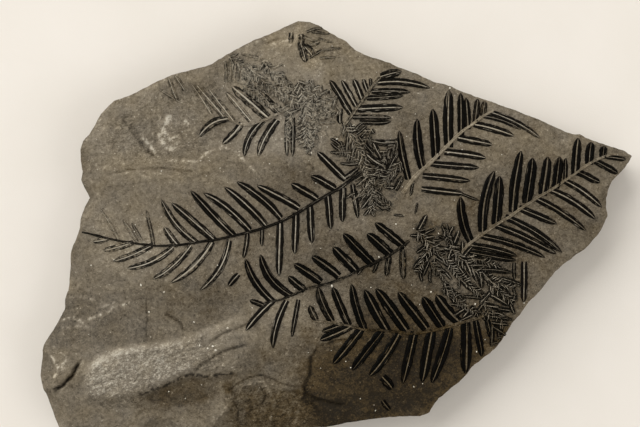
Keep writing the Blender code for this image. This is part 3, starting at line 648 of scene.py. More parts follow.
@dataclass
class StoneFace:
    """The height and colour of the plate's face at any place, from its mound, steps, cracks and chips."""

    broad: Grain = Grain(3)
    fine: Grain = Grain(7)
    broad_rise: float = 0.00030
    fine_rise: float = 0.00024
    wrinkle_rise: float = 0.00042
    scale_rise: float = 0.00040
    fold_stretch: float = 2.2
    fold_size: float = 10.0
    scale_stretch: float = 1.5
    scale_size: float = 4.6
    block_rise: float = 0.0009
    crumb_rise: float = 0.0004
    tangle_rise: float = 0.00034
    chip_ripple: float = 0.00035
    crackled_share: float = 0.7
    crown_share: float = 0.8
    least_skin: float = 0.28
    rim_wear: float = 0.0006
    rim_reach: float = 5.0

    def mound(self, across: np.ndarray, down: np.ndarray) -> np.ndarray:
        """Gives the wrinkled mound's height.

        Args:
            across: squares across.
            down: squares down.

        Returns:
            Metres above the face.
        """
        shape = patch(across, down, MOUND, (-2.0, 7.0), 1.6 * self.fine.field(across, down, 16.0))
        rise = MOUND_RISE - MOUND_FADE * (across - MOUND_LEFT) * SQUARE
        run = across * FOLD_WAY[0] - down * FOLD_WAY[1]
        cross = across * FOLD_WAY[1] + down * FOLD_WAY[0]
        folds = 0.35 - 2.2 * np.abs(self.fine.field(run / self.fold_stretch, cross, self.fold_size, 2))
        scales = 0.30 - 2.4 * np.abs(self.broad.field(run / self.scale_stretch, cross, self.scale_size, 2))
        wrinkle = self.skin(across, down) * (self.wrinkle_rise * folds + self.scale_rise * scales)
        return shape * rise + wrinkle

    def skin(self, across: np.ndarray, down: np.ndarray) -> np.ndarray:
        """Gives how far each place belongs to the wrinkled, scaly skin, 0 to 1.

        Args:
            across: squares across.
            down: squares down.

        Returns:
            The share at each place.
        """
        ragged = 4.0 * self.broad.field(across + 30.0, down, 22.0)
        low = patch(across, down, WRINKLED, (-5.0, 10.0), ragged)
        high = self.crackled_share * patch(across, down, CRACKLED, (-8.0, 12.0), 2.0 * ragged)
        rubble = patch(across, down, ROUGH_CORNER, (-6.0, 6.0), ragged)
        calm = np.zeros_like(ragged)
        for rim in CALM:
            calm = np.maximum(calm, patch(across, down, rim, (-5.0, 8.0), ragged))
        return np.maximum(np.maximum(low, high), np.maximum(rubble, self.least_skin)) * (1.0 - calm)

    def lowered(self, across: np.ndarray, down: np.ndarray) -> np.ndarray:
        """Gives how far the lower right plane and the sunk area lie below the face.

        Args:
            across: squares across.
            down: squares down.

        Returns:
            Metres below the face.
        """
        ragged = 1.4 * self.fine.field(across, down, 12.0)
        plane = patch(across, down, LOWER_PLANE, (-1.0, 2.5), ragged)
        fall = PLANE_SLOPE * np.maximum(down - PLANE_TOP, 0.0) * SQUARE
        sunk = patch(across, down, RECESS, (-1.5, 5.0), ragged)
        return np.maximum(plane * fall, sunk * RECESS_DROP)

    def broken(self, across: np.ndarray, down: np.ndarray) -> np.ndarray:
        """Gives the relief of steps, cracks and rough ground.

        Args:
            across: squares across.
            down: squares down.

        Returns:
            Metres above the face.
        """
        height = np.zeros_like(across, dtype=float)
        wobble = 1.5 * self.fine.field(across + 400.0, down, 18.0)
        for step in STEPS:
            gap, share = way_distance(across, down + wobble, step.way)
            (x0, y0), (x1, y1) = step.way[0], step.way[-1]
            side = (x1 - x0) * (down + wobble - y0) - (y1 - y0) * (across - x0)
            below = np.where(side > 0, np.exp(-gap / step.fade) * smooth(gap, 0.0, 1.5), 0.0)
            height -= step.drop * below * eased_ends(share, STEP_END)
        for crack in CRACKS:
            gap, share = way_distance(across + 0.6 * wobble, down + 0.6 * wobble, crack.way)
            height -= crack.depth * eased_ends(share, CRACK_END) * (1.0 - smooth(gap, 0.2, crack.reach))
        rough = patch(across, down, ROUGH_CORNER, (-4.0, 6.0))
        blocks = np.round(3.0 * self.broad.field(across, down, 26.0, 3)) / 3.0
        height += rough * (self.block_rise * blocks + self.crumb_rise * self.fine.field(across, down, 7.0))
        ridges = 1.0 - 2.4 * np.abs(self.fine.field(across, down + 90.0, 7.0, 3))
        height += self.tangle(across, down) * self.tangle_rise * ridges
        return height + patch(across, down, FLAKE, (-0.6, 1.6), 0.4 * wobble) * FLAKE_RISE

    def chipped(self, across: np.ndarray, down: np.ndarray, height: np.ndarray) -> np.ndarray:
        """Takes the rim's chips off a height.

        Args:
            across: squares across.
            down: squares down.
            height: metres above the back, unchipped.

        Returns:
            The chipped heights.
        """
        ripple = self.chip_ripple * self.fine.field(across, down, 9.0)
        all_x, all_y = metres(across, down)
        for chip_across, chip_down, reach, depth in CHIPS:
            rim = place(chip_across, chip_down, FACE_HEIGHT)
            out = Vector((rim.x, rim.y, 0.0)).normalized()
            lean = Vector((out.x * CHIP_DEPTH, out.y * CHIP_DEPTH, CHIP_LIFT)).normalized()
            centre = rim + lean * (CHIP_DEPTH * reach - depth)
            x, y = all_x - centre.x, all_y - centre.y
            along = (x * out.y - y * out.x) / reach
            outward = (x * out.x + y * out.y) / (CHIP_WIDTH * reach)
            left = 1.0 - along**2 - outward**2
            scoop = centre.z - CHIP_DEPTH * reach * np.sqrt(np.maximum(left, 0.0)) + ripple
            height = np.where(left > 0, np.minimum(height, scoop), height)
        return height

    def height(self, across: np.ndarray, down: np.ndarray) -> np.ndarray:
        """Gives the face's height above the back.

        Args:
            across: squares across.
            down: squares down.

        Returns:
            Metres above the back.
        """
        level = FACE_HEIGHT + self.broad_rise * self.broad.field(across, down, 90.0)
        level = level + self.fine_rise * self.fine.field(across, down, 14.0, 4)
        level = level + self.mound(across, down) - self.lowered(across, down)
        level = level + self.broken(across, down)
        worn, _ = way_distance(across, down, OUTLINE, closed=True)
        bite = 0.6 + 0.8 * self.fine.field(across, down, 10.0)
        level = level - self.rim_wear * bite * (1.0 - smooth(worn, 0.0, self.rim_reach))
        return self.chipped(across, down, level)

    def tangle(self, across: np.ndarray, down: np.ndarray) -> np.ndarray:
        """Gives how far each place belongs to the tangled sprigs, 0 to 1.

        Args:
            across: squares across.
            down: squares down.

        Returns:
            The share at each place.
        """
        ragged = 3.0 * self.fine.field(across + 70.0, down, 14.0)
        shares = [patch(across, down, rim, (-2.0, 5.0), ragged) for rim in (TANGLE, UPPER_TANGLE)]
        crown = self.crown_share * patch(across, down, CROWN_TANGLE, (-2.0, 8.0), ragged)
        return np.maximum(np.maximum(*shares), crown)

    def zoned(self, across: np.ndarray, down: np.ndarray) -> tuple:
        """Gives the stone's shade and warmth from its patches alone, some of which are painted light and shade.

        Args:
            across: squares across.
            down: squares down.

        Returns:
            Shade from 0, black, to 1, pale, and warmth from 0, grey, to 1, brown.
        """
        shade = np.full(across.shape, EVEN_SHADE)
        warmth = np.full(across.shape, EVEN_WARMTH)
        ragged = self.broad.field(across, down + 50.0, 40.0, 4)
        for zone in ZONES:
            share = patch(across, down, zone.rim, (-zone.soft, zone.soft), 0.5 * zone.soft * ragged)
            shade = shade + zone.shade * share
            warmth = warmth + zone.warmth * share
        return shade, warmth

    def colouring(self, across: np.ndarray, down: np.ndarray) -> tuple:
        """Gives the stone's shade and warmth, with painted shade in its cracks, its pale streaks, and its dark
        streaks of painted shade and shadow.

        Args:
            across: squares across.
            down: squares down.

        Returns:
            Shade from 0, black, to 1, pale, and warmth from 0, grey, to 1, brown.
        """
        shade, warmth = self.zoned(across, down)
        crumb = smooth(self.fine.field(across + 11.0, down, 4.0, 2), -0.30, 0.20)
        sway = 1.8 * self.fine.field(across + 200.0, down, 12.0)
        # Each crack is darkened with painted shade
        for crack in CRACKS:
            gap, share = way_distance(across + 0.5 * sway, down + 0.5 * sway, crack.way)
            shade = shade - CRACK_PAINTED_SHADE * eased_ends(share, CRACK_END) * np.exp(-((gap / crack.reach) ** 2))
        for streak in STREAKS:
            gap, _ = way_distance(across + sway, down + sway, streak.way)
            shade = shade + STREAK_SHADE * streak.shade * crumb * np.exp(-((gap / streak.reach) ** 2))
        return np.clip(shade, 0.0, 1.0), np.clip(warmth, 0.0, 1.0)


ZONES = [Zone(*row) for row in (
    ([(400, 200), (640, 140), (640, 460), (300, 460)], 60.0, -0.05, 0.15),
    ([(300, 330), (520, 330), (440, 410), (330, 440), (300, 400)], 16.0, -0.13, 0.25),
    ([(300, 310), (520, 300), (500, 350), (440, 430), (220, 450), (230, 392), (290, 396), (312, 350)],
         20.0, -0.09, 0.2),
    ([(319, 345), (340, 338), (500, 330), (440, 430), (240, 450), (250, 384), (276, 392), (302, 390),
         (307, 376), (308, 360)],
         2.0, -0.07, 0.2),
    ([(330, 340), (490, 330), (430, 410), (330, 440), (318, 400)], 10.0, -0.10),
    # Darker: painted shade where the lower plane slopes away from the light, on warmer stone
    ([(230, 392), (360, 396), (350, 450), (226, 450)], 8.0, -0.06, 0.2),
    ([(306, 232), (430, 232), (440, 310), (300, 300)], 16.0, -0.09),
    ([(392, 110), (430, 110), (430, 160), (400, 170)], 12.0, -0.09),
    ([(270, 165), (330, 165), (330, 290), (240, 290), (236, 225)], 14.0, -0.08),
    ([(440, 200), (520, 196), (520, 280), (440, 260)], 12.0, -0.06),
    ([(350, 320), (470, 320), (440, 380), (380, 390), (350, 370)], 12.0, -0.06),
    ([(440, 150), (560, 150), (560, 230), (440, 244)], 16.0, -0.09),
    ([(56, 296), (146, 290), (146, 342), (112, 346), (90, 362), (64, 348), (46, 350)], 4.0, -0.07, -0.20),
    ([(146, 286), (236, 280), (246, 304), (206, 325), (184, 335), (146, 342)], 4.0, -0.07, 0.05),
    ([(160, 280), (230, 276), (226, 304), (166, 318)], 10.0, -0.07),
    # Lighter and greyer: painted light on the mound's lit upper flank, on greyer stone
    ([(84, 369), (104, 353), (130, 347), (160, 345), (186, 340), (206, 331), (244, 315), (250, 330),
         (214, 352),
          (176, 376), (130, 398), (96, 396), (84, 384)], 6.0, 0.13, -0.15),
    # Lighter: painted light on the mound's lit left part
    ([(84, 369), (104, 354), (134, 348), (160, 348), (172, 362), (160, 378), (126, 394), (96, 394),
         (84, 384)], 9.0, 0.07, -0.1),
    # Lighter: a thin band of painted highlight along the mound's crest
    ([(90, 362), (106, 351), (132, 345), (162, 343), (188, 337), (210, 326), (236, 316), (236, 321),
         (210, 332),
          (188, 343), (162, 349), (132, 351), (108, 358), (94, 368)], 1.6, 0.09),
    # Darker: painted shadow below the mound's lower edge
    ([(128, 402), (150, 392), (180, 378), (206, 377), (240, 370), (244, 396), (226, 404), (150, 430)],
         5.0, -0.08, 0.05),
    # Lighter: painted light on the mound, on greyer stone
    (MOUND, 7.0, 0.03, -0.05),
    ([(44, 352), (60, 344), (110, 350), (84, 372), (60, 380)], 6.0, 0.06, 0.0),
    # Darker: painted shade in the sunk area, on warmer stone
    (RECESS, 5.0, -0.20, 0.2),
    (ROUGH_CORNER, 8.0, -0.10, 0.3),
    ([(270, 20), (310, 24), (380, 66), (380, 84), (300, 70), (262, 50)], 8.0, 0.08, 0.35),
    ([(440, 190), (468, 196), (460, 226), (430, 216)], 6.0, 0.06, 0.2),
    ([(480, 120), (560, 132), (560, 156), (500, 160), (468, 150)], 8.0, 0.05, 0.3),
    ([(100, 156), (220, 150), (224, 182), (100, 186)], 8.0, 0.05, 0.3),
    (TANGLE, 6.0, -0.06, 0.0),
    (UPPER_TANGLE, 6.0, -0.03, 0.0),
    ([(96, 104), (130, 96), (200, 96), (236, 100), (236, 150), (200, 160), (120, 160), (92, 150)], 14.0,
         0.08, -0.05),
    ([(96, 206), (120, 204), (196, 228), (196, 262), (176, 278), (120, 276), (96, 262)], 12.0, 0.10),
    ([(238, 66), (320, 70), (330, 100), (320, 156), (240, 156)], 12.0, 0.12, -0.2),
    ([(196, 300), (246, 300), (246, 345), (200, 350)], 8.0, -0.07),
    ([(350, 265), (440, 265), (440, 325), (350, 325)], 12.0, -0.09),
    ([(280, 160), (320, 160), (320, 200), (280, 200)], 10.0, -0.06),
    ([(500, 230), (560, 236), (556, 290), (528, 290), (500, 262)], 10.0, -0.07),
    ([(232, 388), (252, 378), (292, 396), (308, 392), (316, 412), (312, 432), (240, 434)], 5.0, 0.06, -0.3),
    ([(318, 318), (362, 320), (360, 352), (318, 350)], 8.0, 0.06),
    # Lighter: painted light on the mound
    ([(90, 352), (236, 346), (236, 392), (92, 396)], 10.0, 0.05),
    ([(562, 196), (604, 196), (596, 236), (562, 240)], 8.0, -0.06),
    ([(404, 236), (472, 240), (476, 280), (410, 276)], 10.0, 0.08, -0.1),
    ([(240, 104), (330, 104), (320, 156), (240, 156)], 10.0, 0.06, -0.1),
    ([(224, 56), (262, 46), (280, 58), (280, 80), (222, 84)], 8.0, 0.12),
    ([(98, 238), (160, 240), (160, 260), (104, 262)], 8.0, 0.09),
    ([(430, 158), (500, 156), (500, 178), (440, 184)], 8.0, 0.11),
    ([(262, 296), (306, 296), (306, 322), (262, 322)], 8.0, 0.12),
    ([(216, 344), (306, 346), (308, 384), (256, 384)], 9.0, -0.12, 0.1),
    ([(214, 378), (238, 380), (238, 408), (212, 420)], 6.0, 0.13),
    ([(335, 336), (388, 338), (385, 364), (335, 364)], 8.0, 0.08),
    ([(508, 203), (550, 203), (546, 240), (512, 240)], 8.0, 0.11),
    ([(338, 80), (378, 76), (384, 142), (340, 132)], 9.0, 0.09),
    ([(338, 236), (382, 236), (380, 262), (338, 262)], 8.0, -0.09),
    ([(348, 296), (410, 298), (412, 334), (360, 336)], 9.0, -0.07),
    ([(372, 396), (430, 394), (420, 420), (372, 424)], 8.0, -0.06),
)]


class Slot(Enum):
    """The record's material slots."""

    SHALE = "shale"


def deselect() -> None:
    """Clears the selection, so that an operator acts on the new piece alone."""
    bpy.ops.object.select_all(action="DESELECT")


def selected_only(obj: bpy.types.Object) -> None:
    """Selects one object and makes it active.

    Args:
        obj: the object to work on.
    """
    deselect()
    obj.select_set(True)
    bpy.context.view_layer.objects.active = obj


def points_of(mesh: bpy.types.Mesh) -> np.ndarray:
    """Reads a mesh's points.

    Args:
        mesh: the mesh to read.

    Returns:
        One row of x, y, z for each point.
    """
    flat = np.empty(len(mesh.vertices) * 3)
    mesh.vertices.foreach_get("co", flat)
    return flat.reshape(-1, 3)


def set_points(mesh: bpy.types.Mesh, points: np.ndarray) -> None:
    """Moves a mesh's points.

    Args:
        mesh: the mesh to change.
        points: one row of x, y, z for each point.
    """
    mesh.vertices.foreach_set("co", points.ravel())
    mesh.update()


def paint(mesh: bpy.types.Mesh, name: str, values: np.ndarray) -> None:
    """Keeps one number for each point, for the materials to read.

    Args:
        mesh: the mesh to paint.
        name: the attribute's name.
        values: one number for each point.
    """
    layer = mesh.attributes.get(name) or mesh.attributes.new(name, "FLOAT", "POINT")
    layer.data.foreach_set("value", np.asarray(values, dtype=np.float32))


def squares_of(points: np.ndarray) -> tuple:
    """Gives the squares across and down of points in metres.

    Args:
        points: rows of x, y, z.

    Returns:
        The squares across and the squares down.
    """
    return points[:, 0] / SQUARE + DRAWING_MIDDLE[0], DRAWING_MIDDLE[1] - points[:, 1] / SQUARE


def joined_copies(source: bpy.types.Object, shapes: list, name: str) -> bpy.types.Object:
    """Copies a blank once for each shape, moves the copies' points there and joins them.

    Args:
        source: the blank, which is removed.
        shapes: for each copy, rows of x, y, z in metres.
        name: the joined piece's name.

    Returns:
        The joined piece.
    """
    copies = []
    for points in shapes:
        obj = source.copy()
        obj.data = source.data.copy()
        bpy.context.scene.collection.objects.link(obj)
        set_points(obj.data, points)
        copies.append(obj)
    bpy.data.objects.remove(source, do_unlink=True)
    deselect()
    for obj in copies:
        obj.select_set(True)
    bpy.context.view_layer.objects.active = copies[0]
    if len(copies) > 1:
        bpy.ops.object.join()
    obj = bpy.context.active_object
    obj.name = name
    return obj


def flat_grid(name: str, across: int, along: int) -> bpy.types.Object:
    """Adds a flat grid, 2 wide and 2 long, with its own UV map.

    Args:
        name: the grid's name.
        across: cells across.
        along: cells along.

    Returns:
        The grid.
    """
    deselect()
    bpy.ops.mesh.primitive_grid_add(x_subdivisions=across, y_subdivisions=along, size=2.0)
    obj = bpy.context.active_object
    obj.name = name
    return obj


def finish_piece(obj: bpy.types.Object, material: bpy.types.Material, smooth_angle: float = 0.9) -> None:
    """Shades a piece softly, gives it its material and places it on the plate's body.

    Args:
        obj: the finished piece.
        material: its finish.
        smooth_angle: radians up to which edges are shaded softly.
    """
    selected_only(obj)
    bpy.ops.object.shade_smooth_by_angle(angle=smooth_angle)
    obj.data.materials.clear()
    obj.data.materials.append(material)
    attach(obj, "root")
    deselect()


@dataclass
class ShaleStone:
    """The plate itself: a finely shaped face, broken sides in thin beds, and a flat back."""

    face: StoneFace
    pitch: float = 0.00058
    side_rings: int = 11
    inset: float = 0.0022
    bed_relief: float = 0.0011
    side_chips: float = 0.0004
    ring_lift: float = 0.0005
    side_shade: float = -0.03
    side_skin: float = 0.1
    rim_ragged: float = 0.9

    def ragged_rim(self) -> list:
        """Gives the rim with fine uneven bites between its corners.

        Returns:
            The finer rim's corners, in squares.
        """
        fine = []
        for (x0, y0), (x1, y1) in zip(OUTLINE, OUTLINE[1:] + OUTLINE[:1]):
            count = max(1, int(math.hypot(x1 - x0, y1 - y0) / 2.0))
            for index in range(count):
                share = index / count
                fine.append((x0 + (x1 - x0) * share, y0 + (y1 - y0) * share))
        places = np.array(fine)
        shift = self.rim_ragged * self.face.fine.field(places[:, 0], places[:, 1], 9.0, 3)
        turn = self.rim_ragged * self.face.broad.field(places[:, 0], places[:, 1], 7.0, 3)
        return [(x + a, y + b) for (x, y), a, b in zip(fine, shift, turn)]

    def blank(self) -> bpy.types.Object:
        """Makes a flat grid as large as the face.

        Returns:
            The grid, at the face's height.
        """
        reach = np.array(OUTLINE)
        low, high = reach.min(axis=0) - 3.0, reach.max(axis=0) + 3.0
        middle = place(*((low + high) / 2.0), FACE_HEIGHT)
        width, depth = (high - low) * SQUARE
        deselect()
        cells = int(width / self.pitch), int(depth / self.pitch)
        bpy.ops.mesh.primitive_grid_add(x_subdivisions=cells[0], y_subdivisions=cells[1], size=1.0,
             location=middle)
        obj = bpy.context.active_object
        obj.name = "shale_stone"
        obj.scale = (width, depth, 1.0)
        bpy.ops.object.transform_apply(location=True, rotation=False, scale=True)
        return obj

    def trim(self, obj: bpy.types.Object, rim: list) -> None:
        """Cuts the grid to the rim and pulls its edge onto the rim.

        Args:
            obj: the grid.
            rim: the rim's corners, in squares.
        """
        mesh = obj.data
        middles = np.empty(len(mesh.polygons) * 3)
        mesh.polygons.foreach_get("center", middles)
        across, down = squares_of(middles.reshape(-1, 3))
        shape = bmesh.new()
        shape.from_mesh(mesh)
        shape.faces.ensure_lookup_table()
        outside = [shape.faces[int(index)] for index in np.flatnonzero(~inside(across, down, rim))]
        bmesh.ops.delete(shape, geom=outside, context="FACES")
        ring = [vertex for vertex in shape.verts if vertex.is_boundary]
        corners = np.array(rim + rim[:1])
        leg = corners[1:] - corners[:-1]
        for vertex in ring:
            x, y = vertex.co.x / SQUARE, vertex.co.y / SQUARE
            here = np.array([x + DRAWING_MIDDLE[0], DRAWING_MIDDLE[1] - y])
            share = np.clip(((here - corners[:-1]) * leg).sum(axis=1) / (leg**2).sum(axis=1), 0.0, 1.0)
            near = corners[:-1] + leg * share[:, None]
            best = near[np.argmin(((near - here) ** 2).sum(axis=1))]
            vertex.co = place(best[0], best[1], FACE_HEIGHT)
        bmesh.ops.remove_doubles(shape, verts=ring, dist=0.00004)
        shape.to_mesh(mesh)
        shape.free()

    def drop_sides(self, obj: bpy.types.Object) -> None:
        """Extrudes the face's edge down to the back in rings, and closes the back.

        Args:
            obj: the trimmed face.
        """
        selected_only(obj)
        bpy.ops.object.mode_set(mode="EDIT")
        bpy.ops.mesh.select_mode(type="EDGE")
        bpy.ops.mesh.select_all(action="DESELECT")
        bpy.ops.mesh.select_non_manifold(extend=False, use_boundary=True, use_multi_face=False,
                                         use_non_contiguous=False, use_verts=False, use_wire=False)
        for _ in range(self.side_rings):
            fall = (0.0, 0.0, -FACE_HEIGHT / self.side_rings)
            bpy.ops.mesh.extrude_edges_move(TRANSFORM_OT_translate={"value": fall})
        bpy.ops.mesh.edge_face_add()
        bpy.ops.mesh.select_all(action="SELECT")
        bpy.ops.mesh.normals_make_consistent(inside=False)
        bpy.ops.mesh.select_all(action="DESELECT")
        bpy.ops.object.mode_set(mode="OBJECT")

    def inward(self, across: np.ndarray, down: np.ndarray) -> np.ndarray:
        """Gives the direction into the plate near each place of the rim.

        Args:
            across: squares across.
            down: squares down.

        Returns:
            Rows of x and y, of length 1.
        """
        total = np.zeros((len(across), 2))
        for (x0, y0), (x1, y1) in zip(OUTLINE, OUTLINE[1:] + OUTLINE[:1]):
            length = math.hypot(x1 - x0, y1 - y0)
            gap, _ = way_distance(across, down, [(x0, y0), (x1, y1)])
            weight = np.exp(-((gap / 9.0) ** 2)) * length
            total += weight[:, None] * np.array([-(y1 - y0), -(x1 - x0)]) / length
        return total / np.maximum(np.hypot(total[:, 0], total[:, 1]), 1e-9)[:, None]

    def shape_points(self, obj: bpy.types.Object) -> None:
        """Gives the face its relief and the sides their beds.

        Args:
            obj: the closed blank.
        """
        points = points_of(obj.data)
        across, down = squares_of(points)
        ring = np.rint((FACE_HEIGHT - points[:, 2]) / (FACE_HEIGHT / self.side_rings)).astype(int)
        top = self.face.height(across, down)
        points[:, 2] = np.where(ring == 0, top, points[:, 2])
        side = np.flatnonzero(ring > 0)
        share = 1.0 - ring[side] / self.side_rings
        points[side, 2] = np.where(ring[side] < self.side_rings, top[side] * share, 0.0)
        into = self.inward(across[side], down[side])
        draw = self.inset * (1.0 - np.minimum(share / 0.72, 1.0)) ** 2
        for index in range(1, self.side_rings + 1):
            here = ring[side] == index
            bed = self.face.broad.field(across[side][here] + 53.0 * index, down[side][here], 34.0, 3)
            chip = self.face.fine.field(across[side][here] + 23.0 * index, down[side][here], 8.0, 3)
            draw[here] += self.bed_relief * (0.55 + 0.9 * bed) + self.side_chips * chip
        waves = self.ring_lift * self.face.fine.field(across[side], down[side], 12.0)
        lift = np.where(ring[side] < self.side_rings, waves, 0.0)
        points[side, 0] += into[:, 0] * draw
        points[side, 1] += into[:, 1] * draw
        points[side, 2] = np.maximum(points[side, 2] + lift, 0.0)
        set_points(obj.data, points)
        shade, warmth = self.face.colouring(across, down)
        on_side = ring > 0
        paint(obj.data, "shade", np.where(on_side, self.face.zoned(across, down)[0] + self.side_shade, shade))
        paint(obj.data, "side", on_side)
        paint(obj.data, "warmth", warmth)
        paint(obj.data, "tangle", np.where(on_side, 0.0, self.face.tangle(across, down)))
        paint(obj.data, "skin", np.where(on_side, self.side_skin, self.face.skin(across, down)))

    def build(self, material: bpy.types.Material) -> bpy.types.Object:
        """Builds the stone.

        Args:
            material: the weathered shale.

        Returns:
            The finished piece.
        """
        obj = self.blank()
        self.trim(obj, self.ragged_rim())
        self.drop_sides(obj)
        self.shape_points(obj)
        finish_piece(obj, material)
        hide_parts("fossil_slab")
        return obj


# Where a leaf's or stem's edge points lie across the blank, from its middle
RIM_SIDE = 0.99


@dataclass(frozen=True)
class Carbon:
    """How black a row of leaves is: shares of the row and the film there, and how broad its pale middle is."""

    film: tuple
    rib: tuple = ((0.0, 0.085), (1.0, 0.085))
    rise: float = 1.0
    skew: float = 0.0
    pale: float = 0.0
    widen: float = 1.12


@dataclass
class LeafBlank:
    """One leaf, modelled once: two rounded halves either side of a fine raised midrib."""

    across_cells: int = 12
    along_cells: int = 16
    widths: tuple = ((0.0, 0.82), (0.12, 0.92), (0.3, 1.0), (0.6, 1.0),
                     (0.8, 0.90), (0.9, 0.72), (0.96, 0.46), (1.0, 0.14))
    section: tuple = ((0.0, 0.95), (0.167, 0.30), (0.333, 0.82), (0.5, 1.0),
                      (0.667, 0.95), (0.833, 0.6), (1.0, -0.5))

    def build(self) -> bpy.types.Object:
        """Makes the flat leaf, to be copied and then removed."""
        return flat_grid("leaf_blank", self.across_cells, self.along_cells)


@dataclass
class LeafRow:
    """A row of leaves along one side of a stem, each copied from the blank and laid on the stone."""

    name: str
    rows: list
    carbon: Carbon
    face: StoneFace
    blank: LeafBlank
    rise: float = 0.00055
    sink: float = 0.00010
    wobble: float = 0.35
    root: float = 2.5
    vary: float = 0.6
    edge_bites: float = 0.17
    bumps: float = 0.22
    thickness: float = 0.0005

    def outline(self, side: np.ndarray, along: np.ndarray, leaf: tuple, rng: np.random.Generator) -> np.ndarray:
        """Lays one leaf's points out flat on the squares.

        Args:
            side: places across the blank, -1 to 1.
            along: places along the blank, 0 to 1.
            leaf: its base, tip, bow and width, in squares.
            rng: the row's own random numbers.

        Returns:
            Rows of squares across and down.
        """
        base, tip = np.array(leaf[0:2], float), np.array(leaf[2:4], float)
        base = base + (base - tip) * min(self.root / max(math.dist(base, tip), 1e-6), 0.3)
        chord = tip - base
        right = np.array([-chord[1], chord[0]]) / max(np.hypot(*chord), 1e-6)
        bow = leaf[4] * 4.0 * along * (1.0 - along)
        bow = bow + self.wobble * np.sin(along * rng.uniform(3.0, 6.0) + rng.uniform(0.0, 6.0)) * along
        stops, sizes = zip(*self.blank.widths)
        half = 0.5 * self.carbon.widen * leaf[5] * np.interp(along, stops, sizes)
        bites = self.face.fine.layer(along * 8.0 + rng.uniform(0, 90), side + rng.uniform(0, 90), 2)
        half = half * (1.0 + self.edge_bites * bites)
        place_across = side + self.carbon.skew * (1.0 - side * side)
        return base + chord * along[:, None] + right * (bow + place_across * half)[:, None]

    def relief(self, side: np.ndarray, along: np.ndarray, leaf: tuple, rng: np.random.Generator) -> np.ndarray:
        """Gives one leaf's height above the stone.

        Args:
            side: places across the blank, -1 to 1.
            along: places along the blank, 0 to 1.
            leaf: its base, tip, bow and width, in squares.
            rng: the row's own random numbers.

        Returns:
            Metres above the stone, below it at the leaf's edge.
        """
        parts, heights = zip(*self.blank.section)
        profile = np.interp(np.abs(side), parts, heights)
        body = smooth(along, -0.05, 0.12) * (1.0 - 0.6 * smooth(along, 0.85, 1.0))
        rise = self.rise * self.carbon.rise * rng.uniform(0.75, 1.2) * min(1.0, 0.45 + leaf[5] / 14.0)
        bumps = self.face.broad.layer(along * 9.0 + rng.uniform(0, 90), side + rng.uniform(0, 90), 3)
        cross = 1.0 + self.bumps * bumps
        return np.where(np.abs(side) > RIM_SIDE, -self.sink, profile * rise * body * cross)

    def build(self, material: bpy.types.Material) -> bpy.types.Object:
        """Builds the row as one piece with closed leaves.

        Args:
            material: the leaf's film on shale.

        Returns:
            The finished piece.
        """
        rng = np.random.default_rng(len(self.name) * 37 + len(self.rows))
        source = self.blank.build()
        flat_blank = points_of(source.data)
        side, along = flat_blank[:, 0], (flat_blank[:, 1] + 1.0) / 2.0
        flats, reliefs, films, ribs = [], [], [], []
        for index, leaf in enumerate(self.rows):
            share = index / max(len(self.rows) - 1, 1)
            flats.append(self.outline(side, along, leaf, rng))
            reliefs.append(self.relief(side, along, leaf, rng))
            film = float(np.interp(share, *zip(*self.carbon.film))) * rng.uniform(0.88, 1.05)
            films.append(np.clip(film * (1.0 - 0.10 * along), 0.0, 1.0))
            rib = float(np.interp(share, *zip(*self.carbon.rib))) * rng.uniform(1.0 - self.vary,
                 1.0 + self.vary)
            ribs.append(np.full(len(side), rib))
        across, down = np.concatenate(flats).T
        height = self.face.height(across, down) + np.concatenate(reliefs)
        points = np.stack([*metres(across, down), height], axis=1)
        obj = joined_copies(source, np.split(points, len(self.rows)), self.name)
        across, down = squares_of(points_of(obj.data))
        paint_film(obj.data, self.face.colouring(across, down), self.carbon.pale,
                   np.concatenate(films), np.concatenate(ribs))
        close_below(obj, self.thickness)
        finish_piece(obj, material, 1.2)
        return obj


def paint_film(mesh: bpy.types.Mesh, stone: tuple, pale: float, film: np.ndarray, rib: np.ndarray) -> None:
    """Paints a leaf or stem with the stone under it, its film and its pale middle.

    Args:
        mesh: the mesh to paint.
        stone: the stone's shade and warmth there.
        pale: what the leaf adds to the shade.
        film: how much black film each point keeps.
        rib: half the width of the pale middle, as a share of the leaf.
    """
    paint(mesh, "shade", np.clip(stone[0] + pale, 0.0, 1.0))
    paint(mesh, "warmth", stone[1])
    paint(mesh, "film", film)
    paint(mesh, "rib", rib)


def close_below(obj: bpy.types.Object, thickness: float) -> None:
    """Gives a sheet laid on the stone its thickness, downwards into the stone.

    Args:
        obj: the sheet.
        thickness: metres.
    """
    selected_only(obj)
    bpy.ops.object.mode_set(mode="EDIT")
    bpy.ops.mesh.select_all(action="SELECT")
    bpy.ops.mesh.normals_make_consistent(inside=False)
    bpy.ops.mesh.select_all(action="DESELECT")
    bpy.ops.object.mode_set(mode="OBJECT")
    mesh = obj.data
    upward = sum(face.normal.z for face in mesh.polygons)
    if upward < 0:
        mesh.flip_normals()
    shell = obj.modifiers.new("thickness", "SOLIDIFY")
    shell.thickness = thickness
    shell.offset = -1.0
    bpy.ops.object.modifier_apply(modifier=shell.name)


